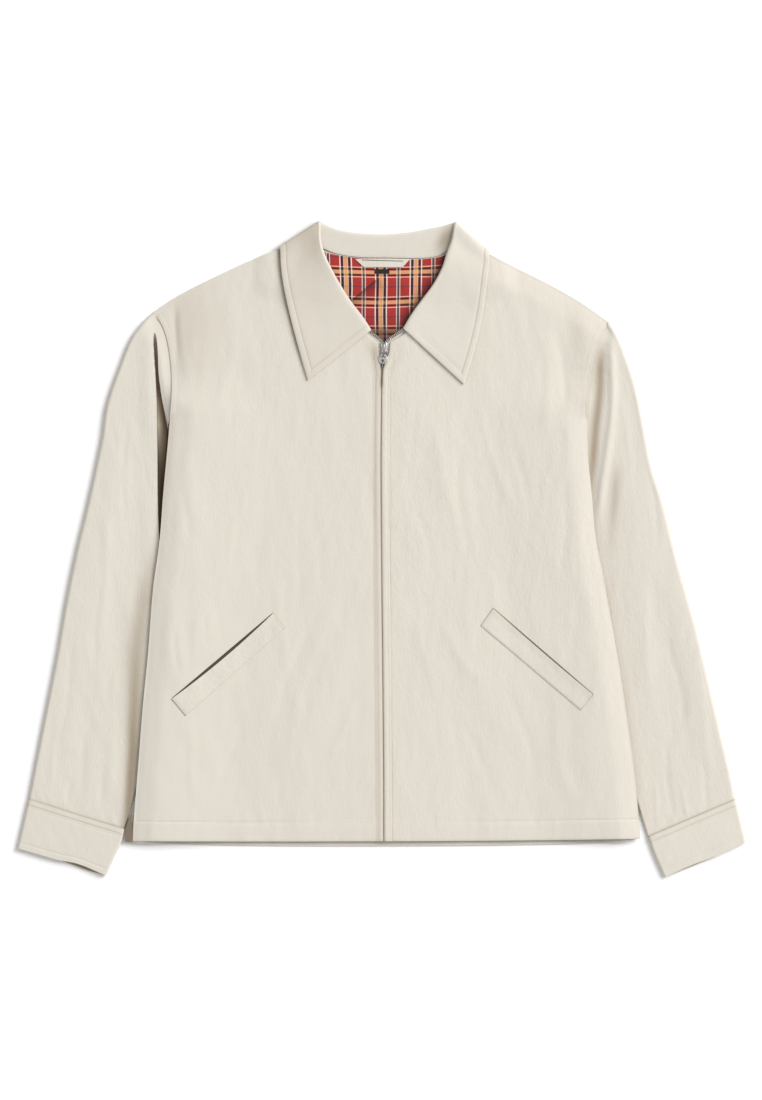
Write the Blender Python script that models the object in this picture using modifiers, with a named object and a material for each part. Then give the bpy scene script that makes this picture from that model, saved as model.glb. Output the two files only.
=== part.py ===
"""A zip-front coach jacket laid flat on its back, seen from above: x to the right, y from the hem
to the collar, z up from the surface it lies on. Left and right are as seen from above.

Lengths in the tables are millimetres. The origin is the middle of the jacket's outline on the
surface. Blender 4.5, metres."""

import math

import bpy
import numpy as np
from mathutils import Vector
from mathutils.bvhtree import BVHTree

MM = 0.001

# Cloth and clearances
SHELL_WALL = 1.5  # shell cloth with its lining
COLLAR_WALL = 2.0  # two layers of shell and an interlining
LINING_WALL = 1.0
TAPE_WALL = 1.0
SEAM_GAP = 0.3  # between pieces at a seam, and between layers that touch
CAP_GAP = 0.85  # at the armhole, whose curve the two sides follow with unlike steps
LEAF_GAP = 0.8  # under the collar leaf, which is stiffer than the front below it

# Body, from the hem to the shoulders
UNDERARM_Y = 150.0
LOFT = 3.0  # most air between front and back
EDGE_LOFT = 0.6  # what is left of it at a folded edge
LOFT_RAMP = 26.0  # from a folded edge to full loft
DEEPEST_FOLD_SHARE = 0.8  # of the loft, that a fold may sink into it

# The body's sides lie on the sleeves' inner edges
SLEEVE_EDGE_HEIGHT = 4.0
SIDE_LIFT = SLEEVE_EDGE_HEIGHT + 1.2
SIDE_FLAT = 16.0  # this far in from the side the body lies on the sleeve
SIDE_RAMP = 32.0
SIDE_END_RAMP = 36.0  # below the underarm, along the side
SIDE_END_ABOVE = 40.0  # how far above the underarm the lift ends

# The back of the neck lies on the fall of the collar
NECK_LIFT = COLLAR_WALL + SEAM_GAP + 0.3
NECK_MIDDLE_X = 4.0
NECK_LIFT_HALF = 154.0
NECK_LIFT_SIDE_RAMP = 20.0
NECK_LIFT_START_Y = 282.0
NECK_LIFT_FULL_Y = 308.0

# Outline curves. Columns: x, y
LEFT_SIDE = [
    (-286.0, -335.3),
    (-285.2, -315.0),
    (-278.9, -236.4),
    (-274.3, -177.8),
    (-268.5, -119.0),
    (-262.8, -45.5),
    (-255.4, 8.7),
    (-251.0, 64.9),
    (-245.6, 123.5),
    (-243.5, 150.0),
]
LEFT_ARMHOLE = [
    (-243.5, 150.0),
    (-241.2, 180.0),
    (-241.8, 208.0),
    (-245.9, 238.0),
    (-252.4, 258.0),
    (-262.0, 272.5),
]
LEFT_SHOULDER = [
    (-80.0, 352.0),
    (-115.6, 345.5),
    (-145.8, 334.0),
    (-188.0, 314.6),
    (-231.4, 292.6),
    (-262.0, 272.5),
]
RIGHT_SIDE = [
    (297.3, -332.5),
    (296.7, -320.4),
    (292.2, -267.5),
    (284.6, -208.8),
    (276.0, -149.6),
    (265.8, -90.4),
    (255.4, -31.7),
    (246.6, 13.1),
    (242.0, 62.6),
    (237.5, 107.4),
    (236.6, 150.0),
]
RIGHT_ARMHOLE = [
    (236.6, 150.0),
    (237.8, 175.0),
    (241.0, 203.0),
    (246.5, 228.0),
    (253.5, 247.0),
    (261.5, 261.0),
]
RIGHT_SHOULDER = [
    (88.0, 350.0),
    (122.9, 339.7),
    (144.7, 328.4),
    (196.3, 302.6),
    (228.6, 284.0),
    (261.5, 261.0),
]
# The two front edges, which part for the slider above y = 205
LEFT_CENTRE = [
    (2.0, -335.3),
    (1.7, -242.0),
    (-0.6, 0.0),
    (-1.2, 90.0),
    (-0.9, 150.0),
    (-0.6, 192.0),
    (-1.2, 206.0),
    (-3.4, 222.0),
    (-4.6, 238.0),
]
RIGHT_CENTRE = [
    (3.2, -335.3),
    (2.9, -242.0),
    (0.6, 0.0),
    (0.0, 90.0),
    (0.3, 150.0),
    (0.6, 192.0),
    (3.0, 206.0),
    (8.8, 222.0),
    (10.2, 238.0),
]
LEFT_NECKLINE = [
    (-4.6, 238.0),
    (-17.5, 248.5),
    (-30.5, 261.0),
    (-58.5, 299.0),
    (-76.0, 332.0),
    (-80.0, 352.0),
]
RIGHT_NECKLINE = [
    (10.2, 238.0),
    (27.5, 248.5),
    (37.5, 262.0),
    (62.5, 294.0),
    (82.0, 328.0),
    (88.0, 350.0),
]
LEFT_HEM = [(2.0, -335.3), (-140.0, -335.6), (-286.0, -335.3)]
RIGHT_HEM = [(3.2, -335.3), (150.0, -334.4), (297.3, -332.5)]
BACK_HEM = [
    (-286.0, -335.3),
    (-262.0, -338.5),
    (-140.0, -340.8),
    (10.0, -341.1),
    (150.0, -340.0),
    (272.0, -337.0),
    (297.3, -332.5),
]
BACK_NECK = [
    (-80.0, 352.0),
    (-70.0, 345.0),
    (-49.5, 338.8),
    (-25.0, 335.4),
    (4.0, 334.7),
    (42.0, 334.2),
    (66.0, 336.6),
    (79.0, 342.0),
    (88.0, 350.0),
]

# Grid lines of the panels, as shares of the width or height
FRONT_COLUMNS = (0.0, 0.03, 0.12, 0.25, 0.38, 0.51, 0.63, 0.74, 0.83, 0.89, 0.945, 1.0)
BACK_EDGE_COLUMNS = (0.0, 0.0275, 0.055, 0.085, 0.13, 0.19, 0.26, 0.34)
BACK_NECK_SHARE = 0.34  # of the back's width, from its side to the neck point
BODY_ROWS = 14
ARMHOLE_ROWS = 8
ARMHOLE_SHARE = 0.76  # of a panel's rows, where the armhole starts

FOLD_REACH = 2.2  # how far a fold spreads, in half widths
FOLD_END_SHARE = 0.55  # of its height, left at a fold's ends

# Largest folds of the fronts. Columns: start x, y, end x, y, half width, height
FRONT_FOLDS = [
    (-238.0, 286.0, -236.0, 196.0, 9.0, -1.6),
    (-240.0, -90.0, -236.0, -150.0, 8.0, 0.9),
    (-206.0, -70.0, -202.0, -125.0, 8.0, 0.8),
    (-36.0, -104.0, -105.0, -242.0, 16.0, 1.0),
    (-150.0, 60.0, -190.0, -40.0, 18.0, 0.7),
    (232.0, 282.0, 236.0, 215.0, 10.0, 1.2),
    (218.0, 262.0, 219.0, 160.0, 11.0, -1.3),
    (90.0, -60.0, 120.0, -200.0, 20.0, 0.8),
    (60.0, 150.0, 95.0, 20.0, 16.0, 0.7),
]

# Sleeves. Outer and inner edges from armhole to cuff. Columns: x, y
LEFT_SLEEVE_OUTER = [
    (-262.4, 272.2),
    (-276.0, 259.0),
    (-287.0, 244.0),
    (-296.0, 223.6),
    (-315.7, 167.2),
    (-321.4, 129.3),
    (-337.5, 53.4),
    (-350.8, -1.8),
    (-362.8, -60.5),
    (-372.7, -119.1),
    (-383.0, -172.0),
    (-394.7, -230.7),
    (-405.6, -287.4),
]
LEFT_SLEEVE_INNER = [
    (-244.4, 152.0),
    (-248.2, 121.0),
    (-247.0, 92.0),
    (-243.0, 60.0),
    (-245.0, 0.0),
    (-252.0, -60.0),
    (-260.0, -125.0),
    (-268.0, -190.0),
    (-277.0, -255.0),
    (-295.2, -322.0),
]
RIGHT_SLEEVE_OUTER = [
    (262.0, 260.6),
    (272.0, 243.7),
    (281.9, 219.5),
    (291.5, 189.1),
    (299.6, 151.1),
    (311.1, 92.5),
    (322.6, 56.8),
    (339.8, -12.2),
    (361.7, -90.4),
    (382.4, -178.9),
    (399.6, -252.5),
    (406.8, -287.9),
]
RIGHT_SLEEVE_INNER = [
    (237.5, 152.0),
    (232.5, 120.0),
    (231.0, 65.0),
    (238.0, 0.0),
    (248.0, -60.0),
    (260.0, -125.0),
    (272.0, -190.0),
    (286.0, -262.0),
    (306.2, -331.0),
]
LEFT_CUFF_SEAM = [(-405.6, -287.4), (-350.0, -305.2), (-295.2, -322.0)]
RIGHT_CUFF_SEAM = [(406.8, -287.9), (356.0, -309.6), (306.2, -331.0)]
SLEEVE_RING = 24
TUBE_SQUARENESS = 0.62  # below 1 it brings the ring's points closer to the two edges
TUBE_EDGE_SHARE = 0.78  # of the width, from where a sleeve has the height of its inner edge
SLEEVE_ROWS = 15
# Sleeve thickness along its length.
# Columns: share of the length, at the outer side, at the inner side
SLEEVE_HEIGHTS = [
    (0.0, 6.6, SLEEVE_EDGE_HEIGHT),
    (0.15, 7.2, SLEEVE_EDGE_HEIGHT),
    (0.5, 7.2, SLEEVE_EDGE_HEIGHT),
    (0.85, 6.8, SLEEVE_EDGE_HEIGHT),
    (1.0, 6.2, 4.6),
]
# Sleeve folds, in the top layer only. Columns: start x, y, end x, y, half width, height
SLEEVE_FOLDS = [
    (-259.0, 240.0, -252.0, 130.0, 6.0, -1.5),
    (-300.0, 120.0, -330.0, -60.0, 16.0, 0.7),
    (-318.0, -80.0, -345.0, -220.0, 14.0, 0.7),
    (252.0, 225.0, 244.0, 120.0, 8.0, -1.5),
    (263.0, 210.0, 262.0, 90.0, 8.0, 0.9),
    (300.0, 60.0, 330.0, -90.0, 16.0, 0.7),
]

# Cuffs, folded double: outer edge, inner edge and bottom. Columns: x, y
CUFF_WALL = 2.2
CUFF_HEIGHT = 6.2
LEFT_CUFF = {
    "top": [(-405.8, -288.1), (-350.2, -305.9), (-295.3, -322.7)],
    "outer": [(-405.8, -288.1), (-413.4, -320.0), (-419.0, -343.8)],
    "inner": [(-295.3, -322.7), (-299.6, -338.2), (-307.6, -354.9), (-316.5, -374.5)],
    "bottom": [(-419.0, -343.8), (-372.0, -361.5), (-316.5, -374.5)],
}
RIGHT_CUFF = {
    "top": [(407.0, -288.6), (356.2, -310.3), (306.3, -331.7)],
    "outer": [(407.0, -288.6), (413.5, -313.0), (419.0, -336.6)],
    "inner": [(306.3, -331.7), (314.0, -352.0), (325.0, -377.0)],
    "bottom": [(419.0, -336.6), (375.0, -357.0), (325.0, -377.0)],
}
CUFF_ROWS = 4

# Collar. One row for each section across it: neck seam, roll line and outer edge.
# turn is -1 where the leaf lies on top, 1 where it lies under the back, 0 at the side folds.
# Columns: neck x, y, roll x, y, edge x, y, turn
COLLAR_SECTIONS = [
    (-17.9, 250.4, -12.5, 252.0, -84.5, 194.6, -1),
    (-29.8, 262.0, -21.6, 266.3, -92.2, 221.0, -1),
    (-44.5, 280.2, -35.5, 284.5, -99.8, 248.5, -1),
    (-57.5, 300.0, -48.5, 305.0, -105.5, 271.0, -1),
    (-67.5, 317.0, -59.5, 325.0, -110.0, 291.0, -1),
    (-74.5, 332.5, -67.0, 342.0, -113.6, 310.0, -1),
    (-77.6, 345.0, -70.6, 358.0, -115.6, 328.0, -1),
    (-78.6, 354.2, -70.7, 376.2, -117.6, 347.8, 0),
    (-69.3, 347.4, -58.0, 370.0, -100.0, 333.0, 1),
    (-49.5, 339.6, -42.0, 365.0, -72.0, 323.0, 1),
    (-25.0, 336.2, -20.0, 362.2, -36.0, 317.5, 1),
    (4.0, 335.5, 5.0, 361.4, 5.0, 316.0, 1),
    (36.0, 335.0, 34.0, 364.0, 46.0, 317.5, 1),
    (62.0, 336.9, 56.0, 368.0, 80.0, 322.0, 1),
    (77.6, 345.2, 74.0, 371.6, 108.0, 329.0, 1),
    (86.4, 352.8, 84.5, 375.2, 125.2, 341.8, 0),
    (83.5, 339.0, 81.0, 356.0, 123.6, 327.0, -1),
    (79.5, 326.5, 75.0, 338.0, 121.6, 311.0, -1),
    (72.5, 312.0, 68.5, 323.5, 119.2, 291.0, -1),
    (61.3, 295.0, 57.0, 305.0, 115.6, 268.0, -1),
    (48.8, 279.8, 43.0, 287.5, 111.0, 246.0, -1),
    (37.0, 264.5, 31.5, 271.0, 105.5, 224.4, -1),
    (27.6, 250.2, 25.5, 254.0, 94.9, 190.2, -1),
]
ROLL_RADIUS = 1.9  # of the collar's middle layer where it turns over
LEAF_STEPS = 5
STAND_STEPS = 2
ROLL_STEPS = (-90, -30, 30, 90)  # degrees round the roll
LEAF_REACH = 3.0  # the leaf clears what lies this near to each of its points
TURN_ANGLES = (-68.0, 0.0, 68.0)  # extra sections round each side fold, degrees
# How far the leaf's outer edge stands off the front, along each side.
# Columns: share from tip to shoulder, height
LEAF_STANDOFF = [(0.0, 0.0), (0.5, 1.0), (0.85, 1.6), (1.0, 0.6)]

# Lining seen in the neck. Columns: x, y
LINING_TOP = [
    (-66.0, 341.8),
    (-49.5, 338.2),
    (-25.0, 334.8),
    (4.0, 334.1),
    (42.0, 333.6),
    (66.0, 336.0),
    (74.0, 339.0),
]
LINING_BOTTOM = [(-60.0, 205.0), (4.0, 200.0), (70.0, 205.0)]
LINING_LEFT = [(-60.0, 205.0), (-82.0, 270.0), (-66.0, 341.8)]
LINING_RIGHT = [(70.0, 205.0), (90.0, 270.0), (74.0, 339.0)]

# Hanger loop and blank label on the lining
LOOP_TOP_Y = 334.0
LOOP_BOTTOM_Y = 324.6
LOOP_TOP_X = (-30.6, 32.8)
LOOP_BOTTOM_X = (-20.3, 24.4)
LOOP_THICK = 1.0
LABEL_SIZE = (16.8, 5.2)
LABEL_MIDDLE = (0.7, 319.6)
LABEL_THICK = 1.0

# Pocket welts, as their four corners: along the opening, then back along the seam. Columns: x, y
WELT_THICK = 1.2
WELT_STEPS = (12, 3)
WELTS = {
    "welt_left": [(-241.6, -171.7), (-124.3, -72.6), (-110.5, -90.0), (-225.5, -191.6)],
    "welt_right": [(128.5, -67.4), (244.0, -167.0), (229.1, -185.5), (113.6, -88.0)],
}

# Zip. The tapes' edges that face each other, from the hem up. Columns: x, y
TAPE_WIDTH = 15.0
TAPE_CLEAR = 0.6  # below the fronts
LEFT_TAPE = [
    (2.3, -324.0),
    (2.0, -242.0),
    (-0.3, 0.0),
    (-1.1, 90.0),
    (0.3, 204.0),
    (1.6, 226.0),
    (1.4, 238.0),
    (-12.5, 250.5),
    (-19.0, 257.5),
]
RIGHT_TAPE = [
    (2.9, -324.0),
    (2.6, -242.0),
    (0.3, 0.0),
    (-0.5, 90.0),
    (0.9, 204.0),
    (4.2, 226.0),
    (4.6, 238.0),
    (22.0, 251.5),
    (28.0, 257.0),
]
TAPE_STEPS = 22

# Slider and pull tab: sizes across, along the zip and high
SLIDER_MIDDLE = (2.9, 232.2)
SLIDER_SIZE = (8.2, 11.4, 2.0)
BRIDGE_SIZE = (2.0, 9.0, 0.9)
BRIDGE_POST = 1.4
BRIDGE_ROOM = 1.7
PULL_WIDTH = 8.6
PULL_LENGTH = 19.0  # from its axis to its end
PULL_THICK = 1.0
PULL_WINDOW = (3.4, 6.4)  # width, and length from the axis
PULL_END_WIDTH = 10.6
PULL_SHOULDER = 1.5  # from the window to where the tab widens
PULL_END_CHAMFER = (2.4, 3.0)
PULL_BAR = 1.0

# Colours, linear. Columns: red, green, blue
STONE = (0.68, 0.61, 0.50)
COLOURS = {
    "shell": STONE,
    "lining": (0.45, 0.05, 0.04),
    "metal": (0.55, 0.55, 0.54),
    "tape": (0.50, 0.46, 0.40),
    "label": (0.02, 0.02, 0.025),
}


def smooth(value):
    """0 below 0, 1 above 1, and an even ease between."""
    value = min(1.0, max(0.0, value))
    return value * value * (3 - 2 * value)


def along(points, share):
    """The point this share of the way along a smooth curve through the points."""
    points = [Vector((*p, 0.0)) for p in points]
    lengths = [0.0]
    for before, after in zip(points, points[1:]):
        lengths.append(lengths[-1] + (after - before).length)
    target = share * lengths[-1]
    i = max(0, min(len(points) - 2, sum(1 for s in lengths if s < target) - 1))
    t = (target - lengths[i]) / (lengths[i + 1] - lengths[i])
    p0 = points[max(0, i - 1)]
    p1, p2 = points[i], points[i + 1]
    p3 = points[min(len(points) - 1, i + 2)]
    chord = (p2 - p1).length
    m1 = (p2 - p0) * chord / max((p2 - p0).length, 1e-9)
    m2 = (p3 - p1) * chord / max((p3 - p1).length, 1e-9)
    square, cube = t * t, t * t * t
    return (
        p1 * (2 * cube - 3 * square + 1)
        + m1 * (cube - 2 * square + t)
        + p2 * (3 * square - 2 * cube)
        + m2 * (cube - square)
    )


def coons(bottom, top, left, right, u, v):
    """A point of the patch inside four edges, each given as a function of its share."""
    across = bottom(u) * (1 - v) + top(u) * v
    upward = left(v) * (1 - u) + right(v) * u
    corners = (bottom(0) * (1 - u) + bottom(1) * u) * (1 - v) + (top(0) * (1 - u) + top(1) * u) * v
    return across + upward - corners


def joined(lower, upper, split):
    """Two curves as one function, the second from the share where they join."""

    def point(share):
        if share <= split:
            return along(lower, share / split)
        return along(upper, (share - split) / (1 - split))

    return point


def distance_to_line(x, y, x0, y0, x1, y1):
    """Distance from a line's stretch, and the share along it."""
    run_x, run_y = x1 - x0, y1 - y0
    share = ((x - x0) * run_x + (y - y0) * run_y) / (run_x**2 + run_y**2)
    near = min(1.0, max(0.0, share))
    return math.hypot(x - x0 - near * run_x, y - y0 - near * run_y), near


def distance_to_curve(x, y, points):
    return min(distance_to_line(x, y, *a, *b)[0] for a, b in zip(points, points[1:]))


def fold_height(x, y, folds):
    """Height that the folds add at a place: highest along each line, gone at its half width."""
    total = 0.0
    for x0, y0, x1, y1, half, height in folds:
        away, share = distance_to_line(x, y, x0, y0, x1, y1)
        ends = FOLD_END_SHARE + (1 - FOLD_END_SHARE) * math.sin(math.pi * share)
        total += height * ends * smooth(1 - away / (FOLD_REACH * half))
    return total


def back_lift(x, y):
    """How far the back is raised off the surface."""
    side = LEFT_SIDE if x < 0 else RIGHT_SIDE
    away = distance_to_curve(x, y, side)
    over_sleeve = SIDE_LIFT * smooth(1 - (away - SIDE_FLAT) / SIDE_RAMP)
    over_sleeve *= smooth((UNDERARM_Y + SIDE_END_ABOVE - y) / SIDE_END_RAMP)
    width = smooth((NECK_LIFT_HALF - abs(x - NECK_MIDDLE_X)) / NECK_LIFT_SIDE_RAMP)
    depth = smooth((y - NECK_LIFT_START_Y) / (NECK_LIFT_FULL_Y - NECK_LIFT_START_Y))
    return max(over_sleeve, NECK_LIFT * width * depth)


def loft(x, y):
    """Air between the back and a front, least at the folded edges."""
    side, shoulder = (LEFT_SIDE, LEFT_SHOULDER) if x < 0 else (RIGHT_SIDE, RIGHT_SHOULDER)
    away = min(distance_to_curve(x, y, side), distance_to_curve(x, y, shoulder))
    return LOFT * smooth(away / LOFT_RAMP) + EDGE_LOFT


def front_underside(x, y):
    raised = max(-LOFT * DEEPEST_FOLD_SHARE, fold_height(x, y, FRONT_FOLDS))
    room = loft(x, y)
    return back_lift(x, y) + SHELL_WALL + SEAM_GAP + room + raised * min(1.0, room / LOFT)


COLLECTION = bpy.data.collections.new("coach_jacket")


def material(name):
    found = bpy.data.materials.get(name)
    if found:
        return found
    made = bpy.data.materials.new(name)
    made.use_nodes = True
    shader = made.node_tree.nodes["Principled BSDF"]
    shader.inputs["Base Color"].default_value = (*COLOURS[name], 1.0)
    shader.inputs["Roughness"].default_value = 0.35 if name == "metal" else 0.85
    shader.inputs["Metallic"].default_value = 1.0 if name == "metal" else 0.0
    return made


def add_object(name, points, faces, slot):
    """An object from points in millimetres."""
    mesh = bpy.data.meshes.new(name)
    mesh.from_pydata([tuple(c * MM for c in p) for p in points], [], faces)
    mesh.materials.append(material(slot))
    made = bpy.data.objects.new(name, mesh)
    COLLECTION.objects.link(made)
    return made


def thicken(made, wall, offset):
    """Gives an open surface its wall: offset 1 grows it along its normals, -1 against them."""
    solidify = made.modifiers.new("wall", "SOLIDIFY")
    solidify.thickness = wall * MM
    solidify.offset = offset
    return made


def grid_faces(rows, columns, closed=False):
    """Quads of a grid whose points run along each row, facing up where x and then y grow."""
    faces = []
    for r in range(rows - 1):
        for c in range(columns if closed else columns - 1):
            nxt = (c + 1) % columns
            here, above = r * columns, (r + 1) * columns
            faces.append((here + c, here + nxt, above + nxt, above + c))
    return faces


def body_shares():
    lower = [ARMHOLE_SHARE * i / BODY_ROWS for i in range(BODY_ROWS)]
    upper = [ARMHOLE_SHARE + (1 - ARMHOLE_SHARE) * i / ARMHOLE_ROWS for i in range(ARMHOLE_ROWS + 1)]
    return lower + upper


def make_back():
    columns = list(BACK_EDGE_COLUMNS)
    neck_steps = 8
    columns += [
        BACK_NECK_SHARE + (1 - 2 * BACK_NECK_SHARE) * i / neck_steps for i in range(1, neck_steps)
    ]
    columns += [1 - share for share in reversed(BACK_EDGE_COLUMNS)]

    def top(u):
        if u < BACK_NECK_SHARE:
            return along(LEFT_SHOULDER[::-1], u / BACK_NECK_SHARE)
        if u > 1 - BACK_NECK_SHARE:
            return along(RIGHT_SHOULDER, (u - 1 + BACK_NECK_SHARE) / BACK_NECK_SHARE)
        return along(BACK_NECK, (u - BACK_NECK_SHARE) / (1 - 2 * BACK_NECK_SHARE))

    left = joined(LEFT_SIDE, LEFT_ARMHOLE, ARMHOLE_SHARE)
    right = joined(RIGHT_SIDE, RIGHT_ARMHOLE, ARMHOLE_SHARE)
    points = []
    for v in body_shares():
        for u in columns:
            place = coons(lambda s: along(BACK_HEM, s), top, left, right, u, v)
            points.append((place.x, place.y, back_lift(place.x, place.y)))
    made = add_object("back", points, grid_faces(len(body_shares()), len(columns)), "shell")
    return thicken(made, SHELL_WALL, 1)


def make_front(name, hem, centre, neckline, side, armhole, shoulder):
    inner = joined(centre, neckline, ARMHOLE_SHARE)
    outer = joined(side, armhole, ARMHOLE_SHARE)
    points = []
    bottom = lambda s: along(hem, s)
    top = lambda s: along(shoulder, s)
    for v in body_shares():
        for u in FRONT_COLUMNS:
            place = coons(bottom, top, inner, outer, u, v)
            points.append((place.x, place.y, front_underside(place.x, place.y)))
    faces = grid_faces(len(body_shares()), len(FRONT_COLUMNS))
    if side[0][0] < 0:
        faces = [face[::-1] for face in faces]
    return thicken(add_object(name, points, faces, "shell"), SHELL_WALL, 1)


def heights_at(table, share):
    """Outer and inner heights at a share of the length, read from the table."""
    shares = [row[0] for row in table]
    return (
        np.interp(share, shares, [row[1] for row in table]),
        np.interp(share, shares, [row[2] for row in table]),
    )


def flat_tube(name, patch, rows, height_of, wall, folds, mirror):
    """A cloth tube lying flat. patch(u, v) is its plan, u from the outer to the inner edge."""
    half = SLEEVE_RING // 2
    points = []
    for v in rows:
        outer_height, inner_height = height_of(v)
        width = (patch(1, v) - patch(0, v)).length
        for i in range(SLEEVE_RING):
            turn = 2 * math.pi * (i + 0.5) / SLEEVE_RING
            top = i < half
            side = math.cos(turn)  # 1 at the outer edge, -1 at the inner edge
            lean = math.copysign(abs(side) ** TUBE_SQUARENESS, side)
            share = (1 - lean) / 2
            height = outer_height + (inner_height - outer_height) * min(1.0, share / TUBE_EDGE_SHARE)
            edge = min(share, 1 - share) * width
            bulge = min(1.0, edge / (height / 2))
            rise = height / 2 * math.sqrt(max(0.0, 1 - (1 - bulge) ** 2))
            place = patch(share, v)
            z = height / 2 + (rise if top else -rise)
            if top and folds:
                fade = min(1.0, edge / height)
                deepest = min(0.0, 2 * wall + SEAM_GAP - height)
                z += fade * max(deepest, fold_height(place.x, place.y, folds))
            points.append((place.x, place.y, z))
    faces = grid_faces(len(rows), SLEEVE_RING, closed=True)
    if not mirror:
        faces = [face[::-1] for face in faces]
    return thicken(add_object(name, points, faces, "shell"), wall, -1)


def moved_out(points, gap):
    """A curve moved sideways: to the right of its run where gap is positive."""
    moved = []
    for i, (x, y) in enumerate(points):
        before, after = points[max(0, i - 1)], points[min(len(points) - 1, i + 1)]
        run = Vector((after[0] - before[0], after[1] - before[1])).normalized()
        moved.append((x + run.y * gap, y - run.x * gap))
    return moved


def make_sleeve(name, outer, inner, armhole, seam, mirror):
    """The first ring follows the armhole, from the shoulder down."""
    cap = moved_out(armhole, CAP_GAP if mirror else -CAP_GAP)[::-1]
    outer = [cap[0]] + outer[1:]
    inner = [cap[-1]] + inner[1:]

    def patch(u, v):
        return coons(
            lambda s: along(cap, s),
            lambda s: along(seam, s),
            lambda s: along(outer, s),
            lambda s: along(inner, s),
            u,
            v,
        )

    rows = [i / SLEEVE_ROWS for i in range(SLEEVE_ROWS + 1)]
    heights = lambda v: heights_at(SLEEVE_HEIGHTS, v)
    return flat_tube(name, patch, rows, heights, SHELL_WALL, SLEEVE_FOLDS, mirror)


def make_cuff(name, edges, mirror):
    def patch(u, v):
        return coons(
            lambda s: along(edges["top"], s),
            lambda s: along(edges["bottom"], s),
            lambda s: along(edges["outer"], s),
            lambda s: along(edges["inner"], s),
            u,
            v,
        )

    rows = [i / CUFF_ROWS for i in range(CUFF_ROWS + 1)]
    return flat_tube(name, patch, rows, lambda v: (CUFF_HEIGHT, CUFF_HEIGHT), CUFF_WALL, (), mirror)


class Seat:
    """The top of some finished objects, for what lies on them."""

    def __init__(self, *objects):
        bpy.context.view_layer.update()
        graph = bpy.context.evaluated_depsgraph_get()
        self.trees = [BVHTree.FromObject(made, graph) for made in objects]

    def height(self, x, y, reach=0.0, fallback=0.0):
        """The highest top in millimetres within reach of a place."""
        found = []
        for dx, dy in ((0, 0), (reach, 0), (-reach, 0), (0, reach), (0, -reach)):
            for tree in self.trees:
                above = Vector(((x + dx) * MM, (y + dy) * MM, 0.1))
                hit = tree.ray_cast(above, Vector((0, 0, -1)))[0]
                if hit:
                    found.append(hit.z / MM)
        return max(found) if found else fallback


def quad_patch(corners):
    """Plan of a piece from its four corners."""
    a, b, c, d = [Vector((*corner, 0.0)) for corner in corners]
    return lambda u, v: (a * (1 - u) + b * u) * (1 - v) + (d * (1 - u) + c * u) * v


def laid_piece(name, patch, steps, seat, gap, wall, slot, reach=2.0):
    """A flat piece laid on a seat, from the seat's points moved out."""
    across, along_steps = steps
    points = []
    for j in range(along_steps + 1):
        for i in range(across + 1):
            place = patch(i / across, j / along_steps)
            points.append((place.x, place.y, seat.height(place.x, place.y, reach) + gap))
    made = add_object(name, points, grid_faces(along_steps + 1, across + 1), slot)
    first_run = np.subtract(points[1], points[0])
    first_rise = np.subtract(points[across + 1], points[0])
    faces_up = np.cross(first_run, first_rise)[2] > 0
    return thicken(made, wall, 1 if faces_up else -1)


def collar_sections():
    """The table's sections, with extra ones round each side fold. The last column becomes the angle
    the strip has turned: -90 with the leaf on top, 90 with it under the back."""
    sections = []
    for nx, ny, rx, ry, ex, ey, turn in COLLAR_SECTIONS:
        angles = (90.0 * turn,)
        if turn == 0:
            angles = TURN_ANGLES if rx < 0 else TURN_ANGLES[::-1]
        for angle in angles:
            sections.append((Vector((nx, ny, 0)), Vector((rx, ry, 0)), Vector((ex, ey, 0)), angle))
    return sections


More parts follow.
